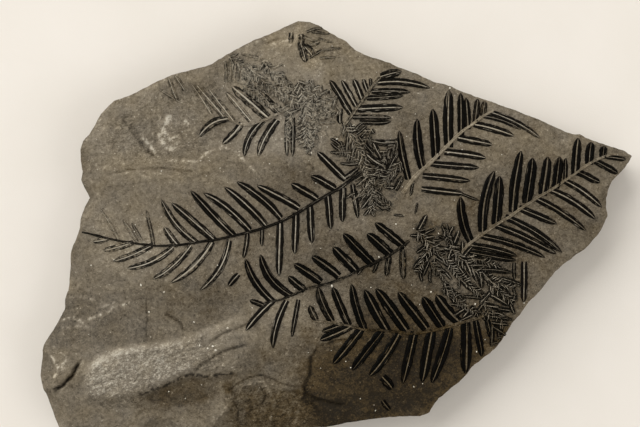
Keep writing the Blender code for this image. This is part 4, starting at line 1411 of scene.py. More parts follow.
@dataclass
class Stem:
    """A stem pressed into the face: a low rounded ridge with a groove along it, thinner towards its tip."""

    name: str
    way: list
    face: StoneFace
    width: float = 4.0
    tip_share: float = 0.5
    rise: float = 0.00065
    film: float = 0.5
    pale: float = 0.0
    along_cells: int = 90
    across_cells: int = 10
    thickness: float = 0.0006
    sink: float = 0.0001

    def softened(self, run: np.ndarray, ahead: float = 0.0) -> np.ndarray:
        """Gives the stem's places at these lengths, with its corners rounded off.

        Args:
            run: lengths from the stem's start, in squares.
            ahead: squares to add to them.

        Returns:
            Rows of squares across and down.
        """
        way = np.array(self.way, float)
        return np.mean([along_way(way, run + ahead + near) for near in np.linspace(-3.0, 3.0, 5)], axis=0).T

    def build(self, material: bpy.types.Material) -> bpy.types.Object:
        """Builds the stem.

        Args:
            material: the stem's finish.

        Returns:
            The finished piece.
        """
        obj = flat_grid(self.name, self.across_cells, self.along_cells)
        points = points_of(obj.data)
        side, along = points[:, 0], (points[:, 1] + 1.0) / 2.0
        run = along * runs(np.array(self.way, float))[-1]
        middle = self.softened(run)
        course = self.softened(run, 2.0) - self.softened(run, -2.0)
        course /= np.maximum(np.hypot(course[:, 0], course[:, 1]), 1e-6)[:, None]
        right = np.stack([-course[:, 1], course[:, 0]], axis=1)
        half = 0.5 * self.width * (1.0 - (1.0 - self.tip_share) * along)
        half = half * (1.0 + 0.16 * self.face.fine.layer(run / 4.0, side * 0.7, 4))
        across, down = (middle + right * (side * half)[:, None]).T
        profile = np.interp(np.abs(side), (0.0, 0.25, 0.6, 1.0), (0.62, 0.9, 0.85, -0.4))
        knots = 1.0 + 0.35 * self.face.fine.layer(run / 3.0, side * 1.4 + 5.0, 5)
        ends = smooth(along, 0.0, 0.02) * (1.0 - smooth(along, 0.97, 1.0))
        ridge = profile * self.rise * knots * (0.25 + 0.75 * ends)
        height = self.face.height(across, down) + np.where(np.abs(side) > RIM_SIDE, -self.sink, ridge)
        set_points(obj.data, np.stack([*metres(across, down), height], axis=1))
        paint_film(obj.data, self.face.colouring(across, down), self.pale,
                   np.full(len(points), self.film), np.zeros(len(points)))
        close_below(obj, self.thickness)
        finish_piece(obj, material, 1.2)
        return obj


@dataclass
class Grit:
    """Pale grains stuck to the face, at the places where they show, and finer ones between them."""

    places: list
    face: StoneFace
    finer: int = 110
    seed: int = 23
    radius: float = 0.00042
    lift: float = 0.0001

    def build(self, material: bpy.types.Material) -> bpy.types.Object:
        """Builds all the grains as one piece.

        Args:
            material: the grains' finish.

        Returns:
            The finished piece.
        """
        rng = np.random.default_rng(self.seed)
        spots = [(x, y, rng.uniform(0.8, 1.25)) for x, y in self.places]
        while len(spots) < len(self.places) + self.finer:
            x, y = rng.uniform(40, 630), rng.uniform(20, 445)
            if depth_inside(np.array([x]), np.array([y]), OUTLINE)[0] > 5.0:
                spots.append((x, y, rng.uniform(0.3, 0.65)))
        deselect()
        bpy.ops.mesh.primitive_ico_sphere_add(subdivisions=2, radius=1.0)
        source = bpy.context.active_object
        ball = points_of(source.data)
        shapes = []
        for x, y, size in spots:
            turn = rng.uniform(0.0, math.pi)
            spread = np.array([rng.uniform(0.8, 1.3), rng.uniform(0.6, 1.0), rng.uniform(0.35, 0.6)])
            east, north, up = (ball * spread * (1.0 + 0.25 * rng.uniform(-1.0, 1.0, (len(ball), 1)))).T
            cos, sin = math.cos(turn), math.sin(turn)
            turned = np.stack([east * cos - north * sin, east * sin + north * cos, up], axis=1)
            height = float(self.face.height(np.array([x]), np.array([y]))[0])
            shapes.append(turned * size * self.radius + np.array(place(x, y, height + self.lift)))
        obj = joined_copies(source, shapes, "pale_grit")
        finish_piece(obj, material, 1.0)
        return obj


@dataclass
class Sprig:
    """A small side branch with short leaflets on both sides, as they lie tangled between the fronds."""

    way: list
    length: float = 10.0
    width: float = 3.5
    spacing: float = 3.0
    angle: float = 46.0
    missing: float = 0.14
    taper: float = 0.45
    margin: float = 3.0

    def leaflets(self, rng: np.random.Generator) -> list:
        """Sets out the leaflets along the branch.

        Args:
            rng: the sprigs' own random numbers.

        Returns:
            Rows of base, tip, bow and width, in squares.
        """
        way = np.array(self.way, float)
        whole = runs(way)[-1]
        rows = []
        run = 1.5
        while run < whole - 0.5:
            here, ahead = along_way(way, run), along_way(way, run + 1.0)
            heading = math.atan2(*(ahead - here)[::-1])
            along = np.array([math.cos(heading), math.sin(heading)])
            for side in (-1.0, 1.0):
                turn = heading + side * math.radians(self.angle * rng.uniform(0.5, 1.4))
                taper = 1.0 - self.taper * run / whole
                reach = self.length * taper * rng.uniform(0.7, 1.15)
                tip = here + reach * np.array([math.cos(turn), math.sin(turn)])
                width = self.width * rng.uniform(0.75, 1.25)
                if rng.random() < self.missing or depth_inside(tip[:1], tip[1:], OUTLINE)[0] < self.margin:
                    continue
                shift = 0.5 * self.spacing * max(side, 0.0) * along
                rows.append((*(here + shift), *(tip + shift), rng.uniform(-0.9, 0.9), width))
            run += self.spacing * rng.uniform(0.85, 1.2)
        return rows


CENTRE_SPRIGS = [Sprig(*row) for row in (
    ([(343, 124), (352, 138), (362, 156), (368, 174), (372, 196), (372, 212)], 11.0),
    ([(398, 140), (388, 152), (381, 168), (374, 180)], 10.0),
    ([(402, 160), (392, 172), (384, 184), (374, 192)], 10.0),
    ([(336, 146), (348, 154), (360, 164), (368, 176)], 8.0),
    ([(352, 202), (362, 192), (370, 182)], 8.0),
    ([(392, 208), (380, 200), (371, 190)], 8.0),
    ([(372, 128), (366, 140), (362, 152)], 7.0),
)]
RIGHT_SPRIGS = [Sprig(*row) for row in (
    ([(416, 230), (426, 240), (436, 250), (448, 262), (458, 276)], 10.0),
    ([(432, 246), (424, 258), (418, 272)], 8.0),
    ([(448, 244), (458, 256), (470, 268), (486, 277), (500, 284), (514, 288)], 11.0),
    ([(468, 256), (482, 261), (498, 266)], 8.0),
    ([(456, 276), (468, 284), (480, 294), (486, 304), (490, 318)], 10.0),
    ([(488, 284), (500, 292), (512, 302)], 9.0),
    ([(442, 286), (452, 294), (462, 304), (478, 314)], 8.0),
    ([(490, 308), (500, 318), (505, 332), (496, 344)], 9.0),
    ([(430, 262), (440, 272), (446, 284)], 8.0),
    ([(444, 228), (448, 238), (452, 248)], 7.0),
)]
CROWN_SPRIGS = [Sprig(*row) for row in (
    ([(298, 80), (303, 96), (306, 112), (306, 128), (308, 150)], 10.0),
    ([(272, 84), (288, 94), (302, 106)], 9.0),
    ([(322, 84), (314, 96), (306, 108)], 8.0),
    ([(338, 96), (326, 104), (312, 114)], 9.0),
    ([(262, 60), (272, 72), (284, 84)], 9.0, 3.0),
    ([(228, 56), (240, 66), (252, 80), (262, 92)], 10.0, 2.8),
    ([(250, 66), (262, 80), (276, 93), (292, 104)], 9.0, 3.0),
    ([(242, 84), (256, 95), (272, 106), (290, 112)], 8.0, 3.0),
    ([(312, 78), (307, 90), (304, 104)], 8.0),
    ([(330, 88), (321, 100), (309, 110)], 8.0),
    ([(316, 112), (316, 128), (314, 144)], 7.0, 3.0),
    ([(291, 110), (289, 126), (287, 142)], 7.0, 3.0),
    ([(343, 110), (328, 113), (312, 118)], 8.0),
    ([(276, 72), (286, 82), (298, 92)], 7.0),
)]


class Graph:
    """Places and joins shader nodes in one tree, column by column."""

    def __init__(self, tree: bpy.types.NodeTree) -> None:
        """Starts on an empty tree.

        Args:
            tree: the tree to fill.
        """
        self.tree = tree
        self.count = 0

    def node(self, kind: str, **settings: object) -> bpy.types.Node:
        """Adds a node.

        Args:
            kind: Blender's name of the node type.
            settings: the node's own options.

        Returns:
            The node.
        """
        node = self.tree.nodes.new(kind)
        node.location = (180 * (self.count % 12), -220 * (self.count // 12))
        self.count += 1
        for name, value in settings.items():
            setattr(node, name, value)
        return node

    def put(self, socket: bpy.types.NodeSocket, value: object) -> None:
        """Sets a socket to a value, or joins it to another socket.

        Args:
            socket: the input.
            value: a number, a colour or an output.
        """
        if isinstance(value, bpy.types.NodeSocket):
            self.tree.links.new(value, socket)
        else:
            socket.default_value = value

    def math(self, operation: str, *values: object, clamp: bool = False) -> bpy.types.NodeSocket:
        """Adds a sum of one, two or three values.

        Args:
            operation: Blender's name of the operation.
            values: numbers or outputs.
            clamp: whether the result stays between 0 and 1.

        Returns:
            The result.
        """
        node = self.node("ShaderNodeMath", operation=operation, use_clamp=clamp)
        for socket, value in zip(node.inputs, values):
            self.put(socket, value)
        return node.outputs[0]

    def plus(self, first: object, second: object, clamp: bool = False) -> bpy.types.NodeSocket:
        """Adds two values."""
        return self.math("ADD", first, second, clamp=clamp)

    def less(self, first: object, second: object, clamp: bool = False) -> bpy.types.NodeSocket:
        """Takes the second value off the first."""
        return self.math("SUBTRACT", first, second, clamp=clamp)

    def times(self, first: object, second: object) -> bpy.types.NodeSocket:
        """Multiplies two values."""
        return self.math("MULTIPLY", first, second)

    def weigh(self, start: object, *parts: tuple) -> bpy.types.NodeSocket:
        """Adds weighted values to a value.

        Args:
            start: the value to start from.
            parts: values, each with its weight.

        Returns:
            The sum.
        """
        for value, weight in parts:
            start = self.math("MULTIPLY_ADD", value, weight, start)
        return start

    def feed(self, node: bpy.types.Node, values: dict) -> None:
        """Sets or joins a node's named inputs.

        Args:
            node: the node.
            values: numbers, colours or outputs by the inputs' names.
        """
        for name, value in values.items():
            self.put(node.inputs[name], value)

    def between(self, value: object, low: float, high: float) -> bpy.types.NodeSocket:
        """Rises softly from 0 at low to 1 at high, or falls where low is above high.

        Args:
            value: the output to ease.
            low: where it gives 0.
            high: where it gives 1.

        Returns:
            The eased value.
        """
        node = self.node("ShaderNodeMapRange", interpolation_type="SMOOTHSTEP")
        start, end, first, last = (low, high, 0.0, 1.0) if low < high else (high, low, 1.0, 0.0)
        self.feed(node, {"Value": value, "From Min": start, "From Max": end, "To Min": first, "To Max": last})
        return node.outputs["Result"]

    def seam(self, value: object, width: float) -> bpy.types.NodeSocket:
        """Draws thin lines where a noise passes its middle value."""
        return self.between(self.math("ABSOLUTE", self.less(value, 0.5)), width, 0.0)

    def mix(self, share: object, first: object, second: object, way: str = "MIX") -> bpy.types.NodeSocket:
        """Mixes two colours.

        Args:
            share: how much of the second.
            first: a colour or an output.
            second: a colour or an output.
            way: Blender's name of the blend.

        Returns:
            The mixed colour.
        """
        node = self.node("ShaderNodeMix", data_type="RGBA", blend_type=way)
        self.put(node.inputs[0], share)
        self.put(node.inputs[6], first)
        self.put(node.inputs[7], second)
        return node.outputs[2]

    def ramp(self, value: object, stops: tuple) -> bpy.types.NodeSocket:
        """Turns a value into a colour.

        Args:
            value: the output to read.
            stops: places from 0 to 1 with their colours.

        Returns:
            The colour.
        """
        node = self.node("ShaderNodeValToRGB")
        elements = node.color_ramp.elements
        while len(elements) < len(stops):
            elements.new(0.5)
        for element, (where, colour) in zip(elements, stops):
            element.position = where
            element.color = (*colour, 1.0)
        self.put(node.inputs[0], value)
        return node.outputs[0]

    def noise(self, position: object, scale: float, detail: float = 3.0, rough: float = 0.55,
              twist: float = 0.0) -> bpy.types.NodeSocket:
        """Adds a noise.

        Args:
            position: the place to read it at.
            scale: bumps to the metre.
            detail: finer layers.
            rough: weight of the finer layers.
            twist: how much it is distorted.

        Returns:
            The noise, about 0.3 to 0.7.
        """
        node = self.node("ShaderNodeTexNoise")
        self.feed(node, {"Vector": position, "Scale": scale, "Detail": detail, "Roughness": rough,
             "Distortion": twist})
        return node.outputs[0]

    def streaked(self, position: object, pull: tuple, turn: float, *noise: float) -> bpy.types.NodeSocket:
        """Adds a noise that is turned and stretched, for patterns with a direction.

        Args:
            position: the place to read it at.
            pull: bumps to the metre along x, y and z, after the turn.
            turn: radians about the face's normal.
            noise: finer layers, their weight and how much it is distorted.

        Returns:
            The noise.
        """
        turned, pulled = self.node("ShaderNodeMapping"), self.node("ShaderNodeMapping")
        self.feed(turned, {"Vector": position, "Rotation": (0.0, 0.0, turn)})
        self.feed(pulled, {"Vector": turned.outputs[0], "Scale": pull})
        return self.noise(pulled.outputs[0], 1.0, *noise)

    def read(self, name: str) -> bpy.types.NodeSocket:
        """Reads a painted attribute.

        Args:
            name: the attribute's name.

        Returns:
            Its value.
        """
        return self.node("ShaderNodeAttribute", attribute_name=name).outputs["Fac"]


def new_group(name: str, inputs: tuple, outputs: tuple) -> tuple:
    """Starts a shader node group with named sockets.

    Args:
        name: the group's name.
        inputs: names and socket types.
        outputs: names and socket types.

    Returns:
        The group's tree, its Graph, the group input node and the group output node.
    """
    tree = bpy.data.node_groups.new(name, "ShaderNodeTree")
    for label, kind in inputs:
        tree.interface.new_socket(label, in_out="INPUT", socket_type=kind)
    for label, kind in outputs:
        tree.interface.new_socket(label, in_out="OUTPUT", socket_type=kind)
    graph = Graph(tree)
    return tree, graph, graph.node("NodeGroupInput"), graph.node("NodeGroupOutput")


FLOAT, COLOUR, PLACE = "NodeSocketFloat", "NodeSocketColor", "NodeSocketVector"


@dataclass(frozen=True)
class ShaleColours:
    """The stone's colours from black to pale, grey and brown, as linear light, and its mottling.

    A noise is given by its bumps to the metre, finer layers, their weight and how much it is distorted, and
    scratches by their stretch, their turn, finer layers, their weight and distortion.
    """

    grey: tuple = (
        (0.0, (0.010, 0.009, 0.007)),
        (0.25, (0.057, 0.049, 0.037)),
        (0.5, (0.144, 0.122, 0.092)),
        (0.75, (0.245, 0.212, 0.163)),
        (1.0, (0.50, 0.46, 0.38)),
    )
    brown: tuple = (
        (0.0, (0.014, 0.009, 0.003)),
        (0.25, (0.068, 0.045, 0.018)),
        (0.5, (0.150, 0.119, 0.075)),
        (0.75, (0.262, 0.215, 0.143)),
        (1.0, (0.50, 0.43, 0.32)),
    )
    mottle: tuple = ((75.0, 4.0, 0.6, 0.4), (560.0, 4.0, 0.62, 0.5), (1700.0, 3.0, 0.6))
    mottle_shade: tuple = (0.36, 0.80, 0.62)
    dots: tuple = (1150.0, 0.0, 0.5)
    dot_shade: float = 0.30
    pit_shade: float = 0.16
    flecks: tuple = (820.0, 2.0, 0.55, 1.0)
    fleck_shade: float = 0.13
    lines: tuple = ((120.0, 2600.0, 120.0), math.radians(24.0), 2.0, 0.5, 0.2)
    cross_lines: tuple = ((110.0, 2300.0, 110.0), math.radians(-38.0), 2.0, 0.5, 0.2)
    scratch_shade: float = 0.10
    scratch_depth: float = 0.12
    patches: tuple = (120.0, 3.0)
    patch_warmth: float = 1.4
    relief: tuple = (0.75, 0.45)
    dullness: float = 0.66
    dull_swing: float = 0.3


def shale_group(stone: ShaleColours) -> bpy.types.NodeTree:
    """Builds the shale's colour, fine relief and dullness, which every piece shares.

    Args:
        stone: the stone's colours and mottling.

    Returns:
        The node group.
    """
    tree, graph, given, out = new_group(
        "shale_surface",
        (("Position", PLACE), ("Shade", FLOAT), ("Warmth", FLOAT), ("Contrast", FLOAT)),
        (("Colour", COLOUR), ("Relief", FLOAT), ("Roughness", FLOAT)),
    )
    where = given.outputs["Position"]
    broad, middle, grain = (graph.noise(where, *noise) for noise in stone.mottle)
    dots, flecks = graph.noise(where, *stone.dots), graph.noise(where, *stone.flecks)
    scratch = graph.plus(graph.between(graph.streaked(where, *stone.lines), 0.66, 0.74),
                         graph.between(graph.streaked(where, *stone.cross_lines), 0.68, 0.76))
    swings = [graph.times(graph.less(noise, 0.5), weight)
              for noise, weight in zip((broad, middle, grain), stone.mottle_shade)]
    swing = graph.plus(graph.plus(*swings[:2]), swings[2])
    shade = graph.math("MULTIPLY_ADD", swing, given.outputs["Contrast"], given.outputs["Shade"])
    shade = graph.weigh(shade, (scratch, stone.scratch_shade), (graph.between(dots, 0.79, 0.85),
         stone.dot_shade),
                        (graph.between(flecks, 0.60, 0.70), stone.fleck_shade))
    shade = graph.less(shade, graph.times(graph.between(dots, 0.28, 0.20), stone.pit_shade), clamp=True)
    patches = graph.less(graph.noise(where, *stone.patches), 0.5)
    warm = graph.plus(given.outputs["Warmth"], graph.times(patches, stone.patch_warmth), clamp=True)
    relief = graph.plus(graph.times(middle, stone.relief[0]), graph.times(grain, stone.relief[1]))
    graph.feed(out, {
        "Colour": graph.mix(warm, graph.ramp(shade, stone.grey), graph.ramp(shade, stone.brown)),
        "Relief": graph.weigh(relief, (scratch, -stone.scratch_depth)),
        "Roughness": graph.math("MULTIPLY_ADD", middle, stone.dull_swing, stone.dullness),
    })
    return tree


class Finish:
    """A material on the shared shale surface."""

    name: str

    def start(self) -> tuple:
        """Starts an empty material.

        Returns:
            The material, its Graph, its Principled shader and the position output.
        """
        material = bpy.data.materials.new(self.name)
        material.use_nodes = True
        material.node_tree.nodes.clear()
        graph = Graph(material.node_tree)
        shader = graph.node("ShaderNodeBsdfPrincipled")
        out = graph.node("ShaderNodeOutputMaterial")
        graph.put(out.inputs["Surface"], shader.outputs[0])
        return material, graph, shader, graph.node("ShaderNodeTexCoord").outputs["Object"]

    def relief(self, graph: Graph, height: object, strength: float, depth: float) -> bpy.types.NodeSocket:
        """Turns a height into a normal.

        Args:
            graph: the material's nodes.
            height: the height output.
            strength: 0 to 1.
            depth: metres for a height of 1.

        Returns:
            The normal.
        """
        bump = graph.node("ShaderNodeBump")
        graph.feed(bump, {"Strength": strength, "Distance": depth, "Height": height})
        return bump.outputs[0]


@dataclass(frozen=True)
class WeatheredShale(Finish):
    """The stone's own finish: mottled grey-brown, darker and blacker in the tangled sprigs' hollows, with
    painted light on the crests and painted shade in the gaps of its folds and scales.
    """

    surface: bpy.types.NodeTree
    name: str = "weathered_shale"
    bump_depth: float = 0.00085
    bump_strength: float = 0.8
    scraps: tuple = (620.0, 4.0, 0.62, 0.8)
    scrap_share: float = 0.6
    scrap_gloss: float = 0.3
    black: tuple = (0.008, 0.008, 0.006, 1.0)
    folds: tuple = ((230.0, 480.0, 240.0), math.radians(-24.0), 3.0, 0.6, 0.9)
    scales: tuple = ((520.0, 960.0, 500.0), math.radians(-16.0), 2.0, 0.5, 0.8)
    fold_gap: float = 0.045
    scale_gap: float = 0.055
    beds: tuple = ((38.0, 38.0, 1300.0), 0.0, 3.0, 0.6, 0.1)
    seams: tuple = ((26.0, 26.0, 620.0), 0.4, 1.0, 0.5, 0.1)
    seam_width: float = 0.03
    gap_painted_shade: float = 0.13
    gap_depth: float = 0.28
    skin_shade: float = 0.4
    fold_painted_light_shade: float = 0.14
    fold_depth: float = 0.85
    bed_shade: float = 0.70
    bed_depth: float = 1.2
    seam_shade: float = 0.16
    contrast: float = 0.78
    skin_contrast: float = 0.12
    shine: float = 0.2

    def make(self) -> bpy.types.Material:
        """Builds the material.

        Returns:
            The material.
        """
        material, graph, shader, where = self.start()
        shale = graph.node("ShaderNodeGroup", node_tree=self.surface)
        skin, side, tangle = graph.read("skin"), graph.read("side"), graph.read("tangle")
        scraps = graph.between(graph.noise(where, *self.scraps), 0.50, 0.60)
        black = graph.times(scraps, graph.times(tangle, self.scrap_share))
        folded, scaly, beds, seams = (
            graph.streaked(where, *way) for way in (self.folds, self.scales, self.beds, self.seams))
        folds = graph.times(graph.less(graph.plus(folded, scaly), 1.0), skin)
        gaps = graph.plus(graph.seam(folded, self.fold_gap), graph.seam(scaly, self.scale_gap))
        gaps = graph.times(gaps, skin)
        seams = graph.times(graph.seam(seams, self.seam_width), side)
        beds = graph.times(graph.less(beds, 0.5), side)
        # Folds and scales are painted lighter on their crests and darker in their gaps, as painted light and
        # shade
        graph.feed(shale, {
            "Position": where,
            "Shade": graph.weigh(
                graph.read("shade"), (gaps, -self.gap_painted_shade), (skin, self.skin_shade * self.gap_painted_shade),
                (seams, -self.seam_shade), (beds, self.bed_shade), (folds, self.fold_painted_light_shade)),
            "Warmth": graph.read("warmth"),
            "Contrast": graph.math("MULTIPLY_ADD", skin, self.skin_contrast, self.contrast),
        })
        height = graph.weigh(shale.outputs["Relief"], (gaps, -self.gap_depth), (folds, self.fold_depth),
                             (beds, self.bed_depth), (seams, -self.gap_depth))
        graph.feed(shader, {
            "Base Color": graph.mix(black, shale.outputs["Colour"], self.black),
            "Roughness": graph.weigh(shale.outputs["Roughness"], (black, -self.scrap_gloss)),
            "Specular IOR Level": self.shine,
            "Normal": self.relief(graph, height, self.bump_strength, self.bump_depth),
        })
        return material


@dataclass(frozen=True)
class CarbonFilm(Finish):
    """A leaf or stem: black shining film, cracked, thin along the midrib and worn off in places, with painted
    highlights on its midrib, its edges and glinting streaks.
    """

    surface: bpy.types.NodeTree
    name: str = "carbon_film"
    film: tuple = (0.0007, 0.0007, 0.0005, 1.0)
    film_share: float = 0.97
    rib_film: float = 0.10
    rib_and_highlight_pale: float = 0.48
    edge_highlight: float = 0.45
    under_pale: float = -0.05
    streak_pull: tuple = (5.0, 1.5, 160.0)
    streaks: tuple = (1.0, 3.0, 0.6)
    streak_wear: float = 1.0
    glint_film_cut: float = -0.55
    flakes: tuple = (900.0, 4.0, 0.65, 0.4)
    flake_wear: float = 1.1
    edge_film: float = 0.10
    crack_scale: float = 1300.0
    crack_depth: float = 0.30
    film_rise: float = 0.35
    gloss: float = 0.20
    gloss_swing: float = 0.28
    contrast: float = 0.9
    shine: float = 0.035
    bump_depth: float = 0.00025
    bump_strength: float = 0.7

    def make(self) -> bpy.types.Material:
        """Builds the material.

        Returns:
            The material.
        """
        material, graph, shader, where = self.start()
        shale = graph.node("ShaderNodeGroup", node_tree=self.surface)
        split, spot = graph.node("ShaderNodeSeparateXYZ"), graph.node("ShaderNodeSeparateXYZ")
        graph.put(split.inputs[0], graph.node("ShaderNodeUVMap", uv_map="UVMap").outputs[0])
        graph.put(spot.inputs[0], where)
        side = graph.math("ABSOLUTE", graph.less(graph.times(split.outputs[0], 2.0), 1.0))
        lamina = graph.between(graph.less(side, graph.read("rib")), -0.05, 0.09)
        on_rib = graph.less(1.0, lamina)
        lamina = graph.times(graph.math("MULTIPLY_ADD", lamina, 1.0 - self.rib_film, self.rib_film),
                             graph.between(side, 1.02, 0.90))
        long_way = graph.node("ShaderNodeCombineXYZ")
        for socket, source, pull in zip(long_way.inputs, (*split.outputs[:2], spot.outputs[0]),
             self.streak_pull):
            graph.put(socket, graph.times(source, pull))
        streaks = graph.noise(long_way.outputs[0], *self.streaks)
        # Glints and pale edges are painted highlights; the midrib shows paler stone where the film is thin,
        # lifted further by a painted highlight
        glints = graph.between(streaks, 0.60, 0.70)
        edge = graph.times(graph.between(side, 0.82, 1.0), self.edge_highlight)
        lift = graph.math("MAXIMUM", graph.math("MAXIMUM", on_rib, edge), glints)
        lift = graph.math("MULTIPLY_ADD", lift, self.rib_and_highlight_pale, self.under_pale)
        graph.feed(shale, {"Position": where, "Shade": graph.plus(graph.read("shade"), lift),
                           "Warmth": graph.read("warmth"), "Contrast": self.contrast})
        flakes = graph.noise(where, *self.flakes)
        kept = graph.weigh(graph.read("film"), (graph.less(flakes, 0.5), self.flake_wear),
                           (graph.less(streaks, 0.5), self.streak_wear),
                           (graph.between(side, 0.60, 0.85), self.edge_film))
        cover = graph.times(graph.between(kept, 0.25, 0.60), lamina)
        # The film is cut back where the painted glints lie, so that they show pale
        cover = graph.times(cover, graph.math("MULTIPLY_ADD", glints, self.glint_film_cut, 1.0))
        cells = graph.node("ShaderNodeTexVoronoi", feature="DISTANCE_TO_EDGE")
        graph.feed(cells, {"Vector": where, "Scale": self.crack_scale})
        cracks = graph.times(graph.between(cells.outputs["Distance"], 0.10, 0.02), cover)
        gloss = graph.math("MULTIPLY_ADD", flakes, self.gloss_swing, self.gloss)
        matt = graph.times(shale.outputs["Roughness"], graph.less(1.0, cover))
        height = graph.weigh(shale.outputs["Relief"], (cover, self.film_rise), (cracks, -self.crack_depth))
        graph.feed(shader, {
            "Base Color": graph.mix(graph.times(cover, self.film_share), shale.outputs["Colour"], self.film),
            "Roughness": graph.plus(matt, graph.times(cover, gloss)),
            "Specular IOR Level": self.shine,
            "Normal": self.relief(graph, height, self.bump_strength, self.bump_depth),
        })
        return material


@dataclass(frozen=True)
class PlainFinish(Finish):
    """A mottled colour with fine pits, as the pale grains and the floor have."""

    name: str
    mottle: tuple
    colours: tuple
    dullness: float
    pits: tuple
    bump_strength: float
    bump_depth: float
    shine: float = 0.5

    def make(self) -> bpy.types.Material:
        """Builds the material.

        Returns:
            The material.
        """
        material, graph, shader, where = self.start()
        graph.feed(shader, {
            "Base Color": graph.ramp(graph.noise(where, *self.mottle), self.colours),
            "Roughness": self.dullness,
            "Specular IOR Level": self.shine,
            "Normal": self.relief(graph, graph.noise(where, *self.pits), self.bump_strength, self.bump_depth),
        })
        return material


PALE_GRAIN = PlainFinish("pale_grain", (700.0, 3.0), ((0.35, (0.34, 0.30, 0.23)), (0.6, (0.70, 0.66, 0.56))),
                         0.7, (4000.0, 2.0), 0.4, 0.0001)
PALE_BOARD = PlainFinish("pale_board", (22.0, 3.0, 0.5),
                         ((0.3, (0.752, 0.712, 0.655)), (0.7, (0.782, 0.742, 0.690))),
                         0.6, (2600.0, 3.0), 0.25, 0.0002, 0.2)


@dataclass(frozen=True)
class Lamp:
    """A soft square light that looks at the plate."""

    name: str
    place: tuple
    side: float
    power: float
    colour: tuple

    def add(self) -> None:
        """Hangs the light and points it at the plate's middle."""
        data = bpy.data.lights.new(self.name, "AREA")
        data.shape = "SQUARE"
        data.size = self.side
        data.energy = self.power
        data.color = self.colour
        obj = bpy.data.objects.new(self.name, data)
        obj.location = self.place
        obj.rotation_euler = (-Vector(self.place)).to_track_quat("-Z", "Y").to_euler()
        bpy.context.scene.collection.objects.link(obj)


@dataclass
class Studio:
    """The pale floor, the soft lights and the camera above the plate."""

    height: float = 0.62
    sensor: float = 36.0
    floor_side: float = 6.0
    sky: tuple = (1.0, 0.975, 0.93)
    sky_strength: float = 0.57

    def floor(self) -> None:
        """Lays the floor under the plate."""
        deselect()
        bpy.ops.mesh.primitive_plane_add(size=self.floor_side, location=(0.0, 0.0, -0.00005))
        obj = bpy.context.active_object
        obj.name = "pale_floor"
        obj.data.materials.append(PALE_BOARD.make())

    def lights(self) -> None:
        """Hangs the lights: a broad one at upper left, and the room's own even light."""
        Lamp("window", (-2.75, 2.75, 2.55), 4.8, 252.0, (1.0, 0.985, 0.955)).add()
        Lamp("wall", (2.6, -1.0, 2.2), 2.4, 26.0, (1.0, 0.98, 0.95)).add()
        world = bpy.context.scene.world or bpy.data.worlds.new("room")
        bpy.context.scene.world = world
        world.use_nodes = True
        sky = world.node_tree.nodes["Background"]
        sky.inputs["Color"].default_value = (*self.sky, 1.0)
        sky.inputs["Strength"].default_value = self.sky_strength

    def camera(self) -> None:
        """Sets the camera straight above, so that one square is one point of the picture."""
        data = bpy.data.cameras.new("camera")
        obj = bpy.data.objects.new("camera", data)
        middle = place(*PICTURE_MIDDLE)
        obj.location = (middle.x, middle.y, FACE_HEIGHT + self.height)
        data.sensor_width = self.sensor
        data.lens = self.sensor * self.height / (PICTURE_WIDTH_SQUARES * SQUARE)
        data.clip_start = 0.01
        bpy.context.scene.collection.objects.link(obj)
        bpy.context.scene.camera = obj

    def set_up(self) -> None:
        """Sets up the whole studio."""
        self.floor()
        self.lights()
        self.camera()
        bpy.context.scene.view_settings.view_transform = "Standard"


# Where the larger grains lie, in squares across and down
GRIT_PLACES = [
    (164, 292), (141, 285), (149, 312), (194, 322), (213, 346), (332, 286), (379, 257), (396, 224), (352, 126),
    (337, 139), (448, 153), (487, 206), (515, 198), (576, 173), (524, 303), (475, 304), (450, 88), (401, 79),
    (431, 292), (311, 153), (354, 125), (200, 345), (208, 348), (216, 350), (228, 328),
]

# Tangled sprigs: their branches, how much film they keep, and what they add to the shade
TANGLES = {
    "centre_leaflets": (CENTRE_SPRIGS, 0.56, 0.18),
    "right_leaflets": (RIGHT_SPRIGS, 0.64, 0.20),
    "crown_leaflets": (CROWN_SPRIGS, 0.45, 0.24),
}
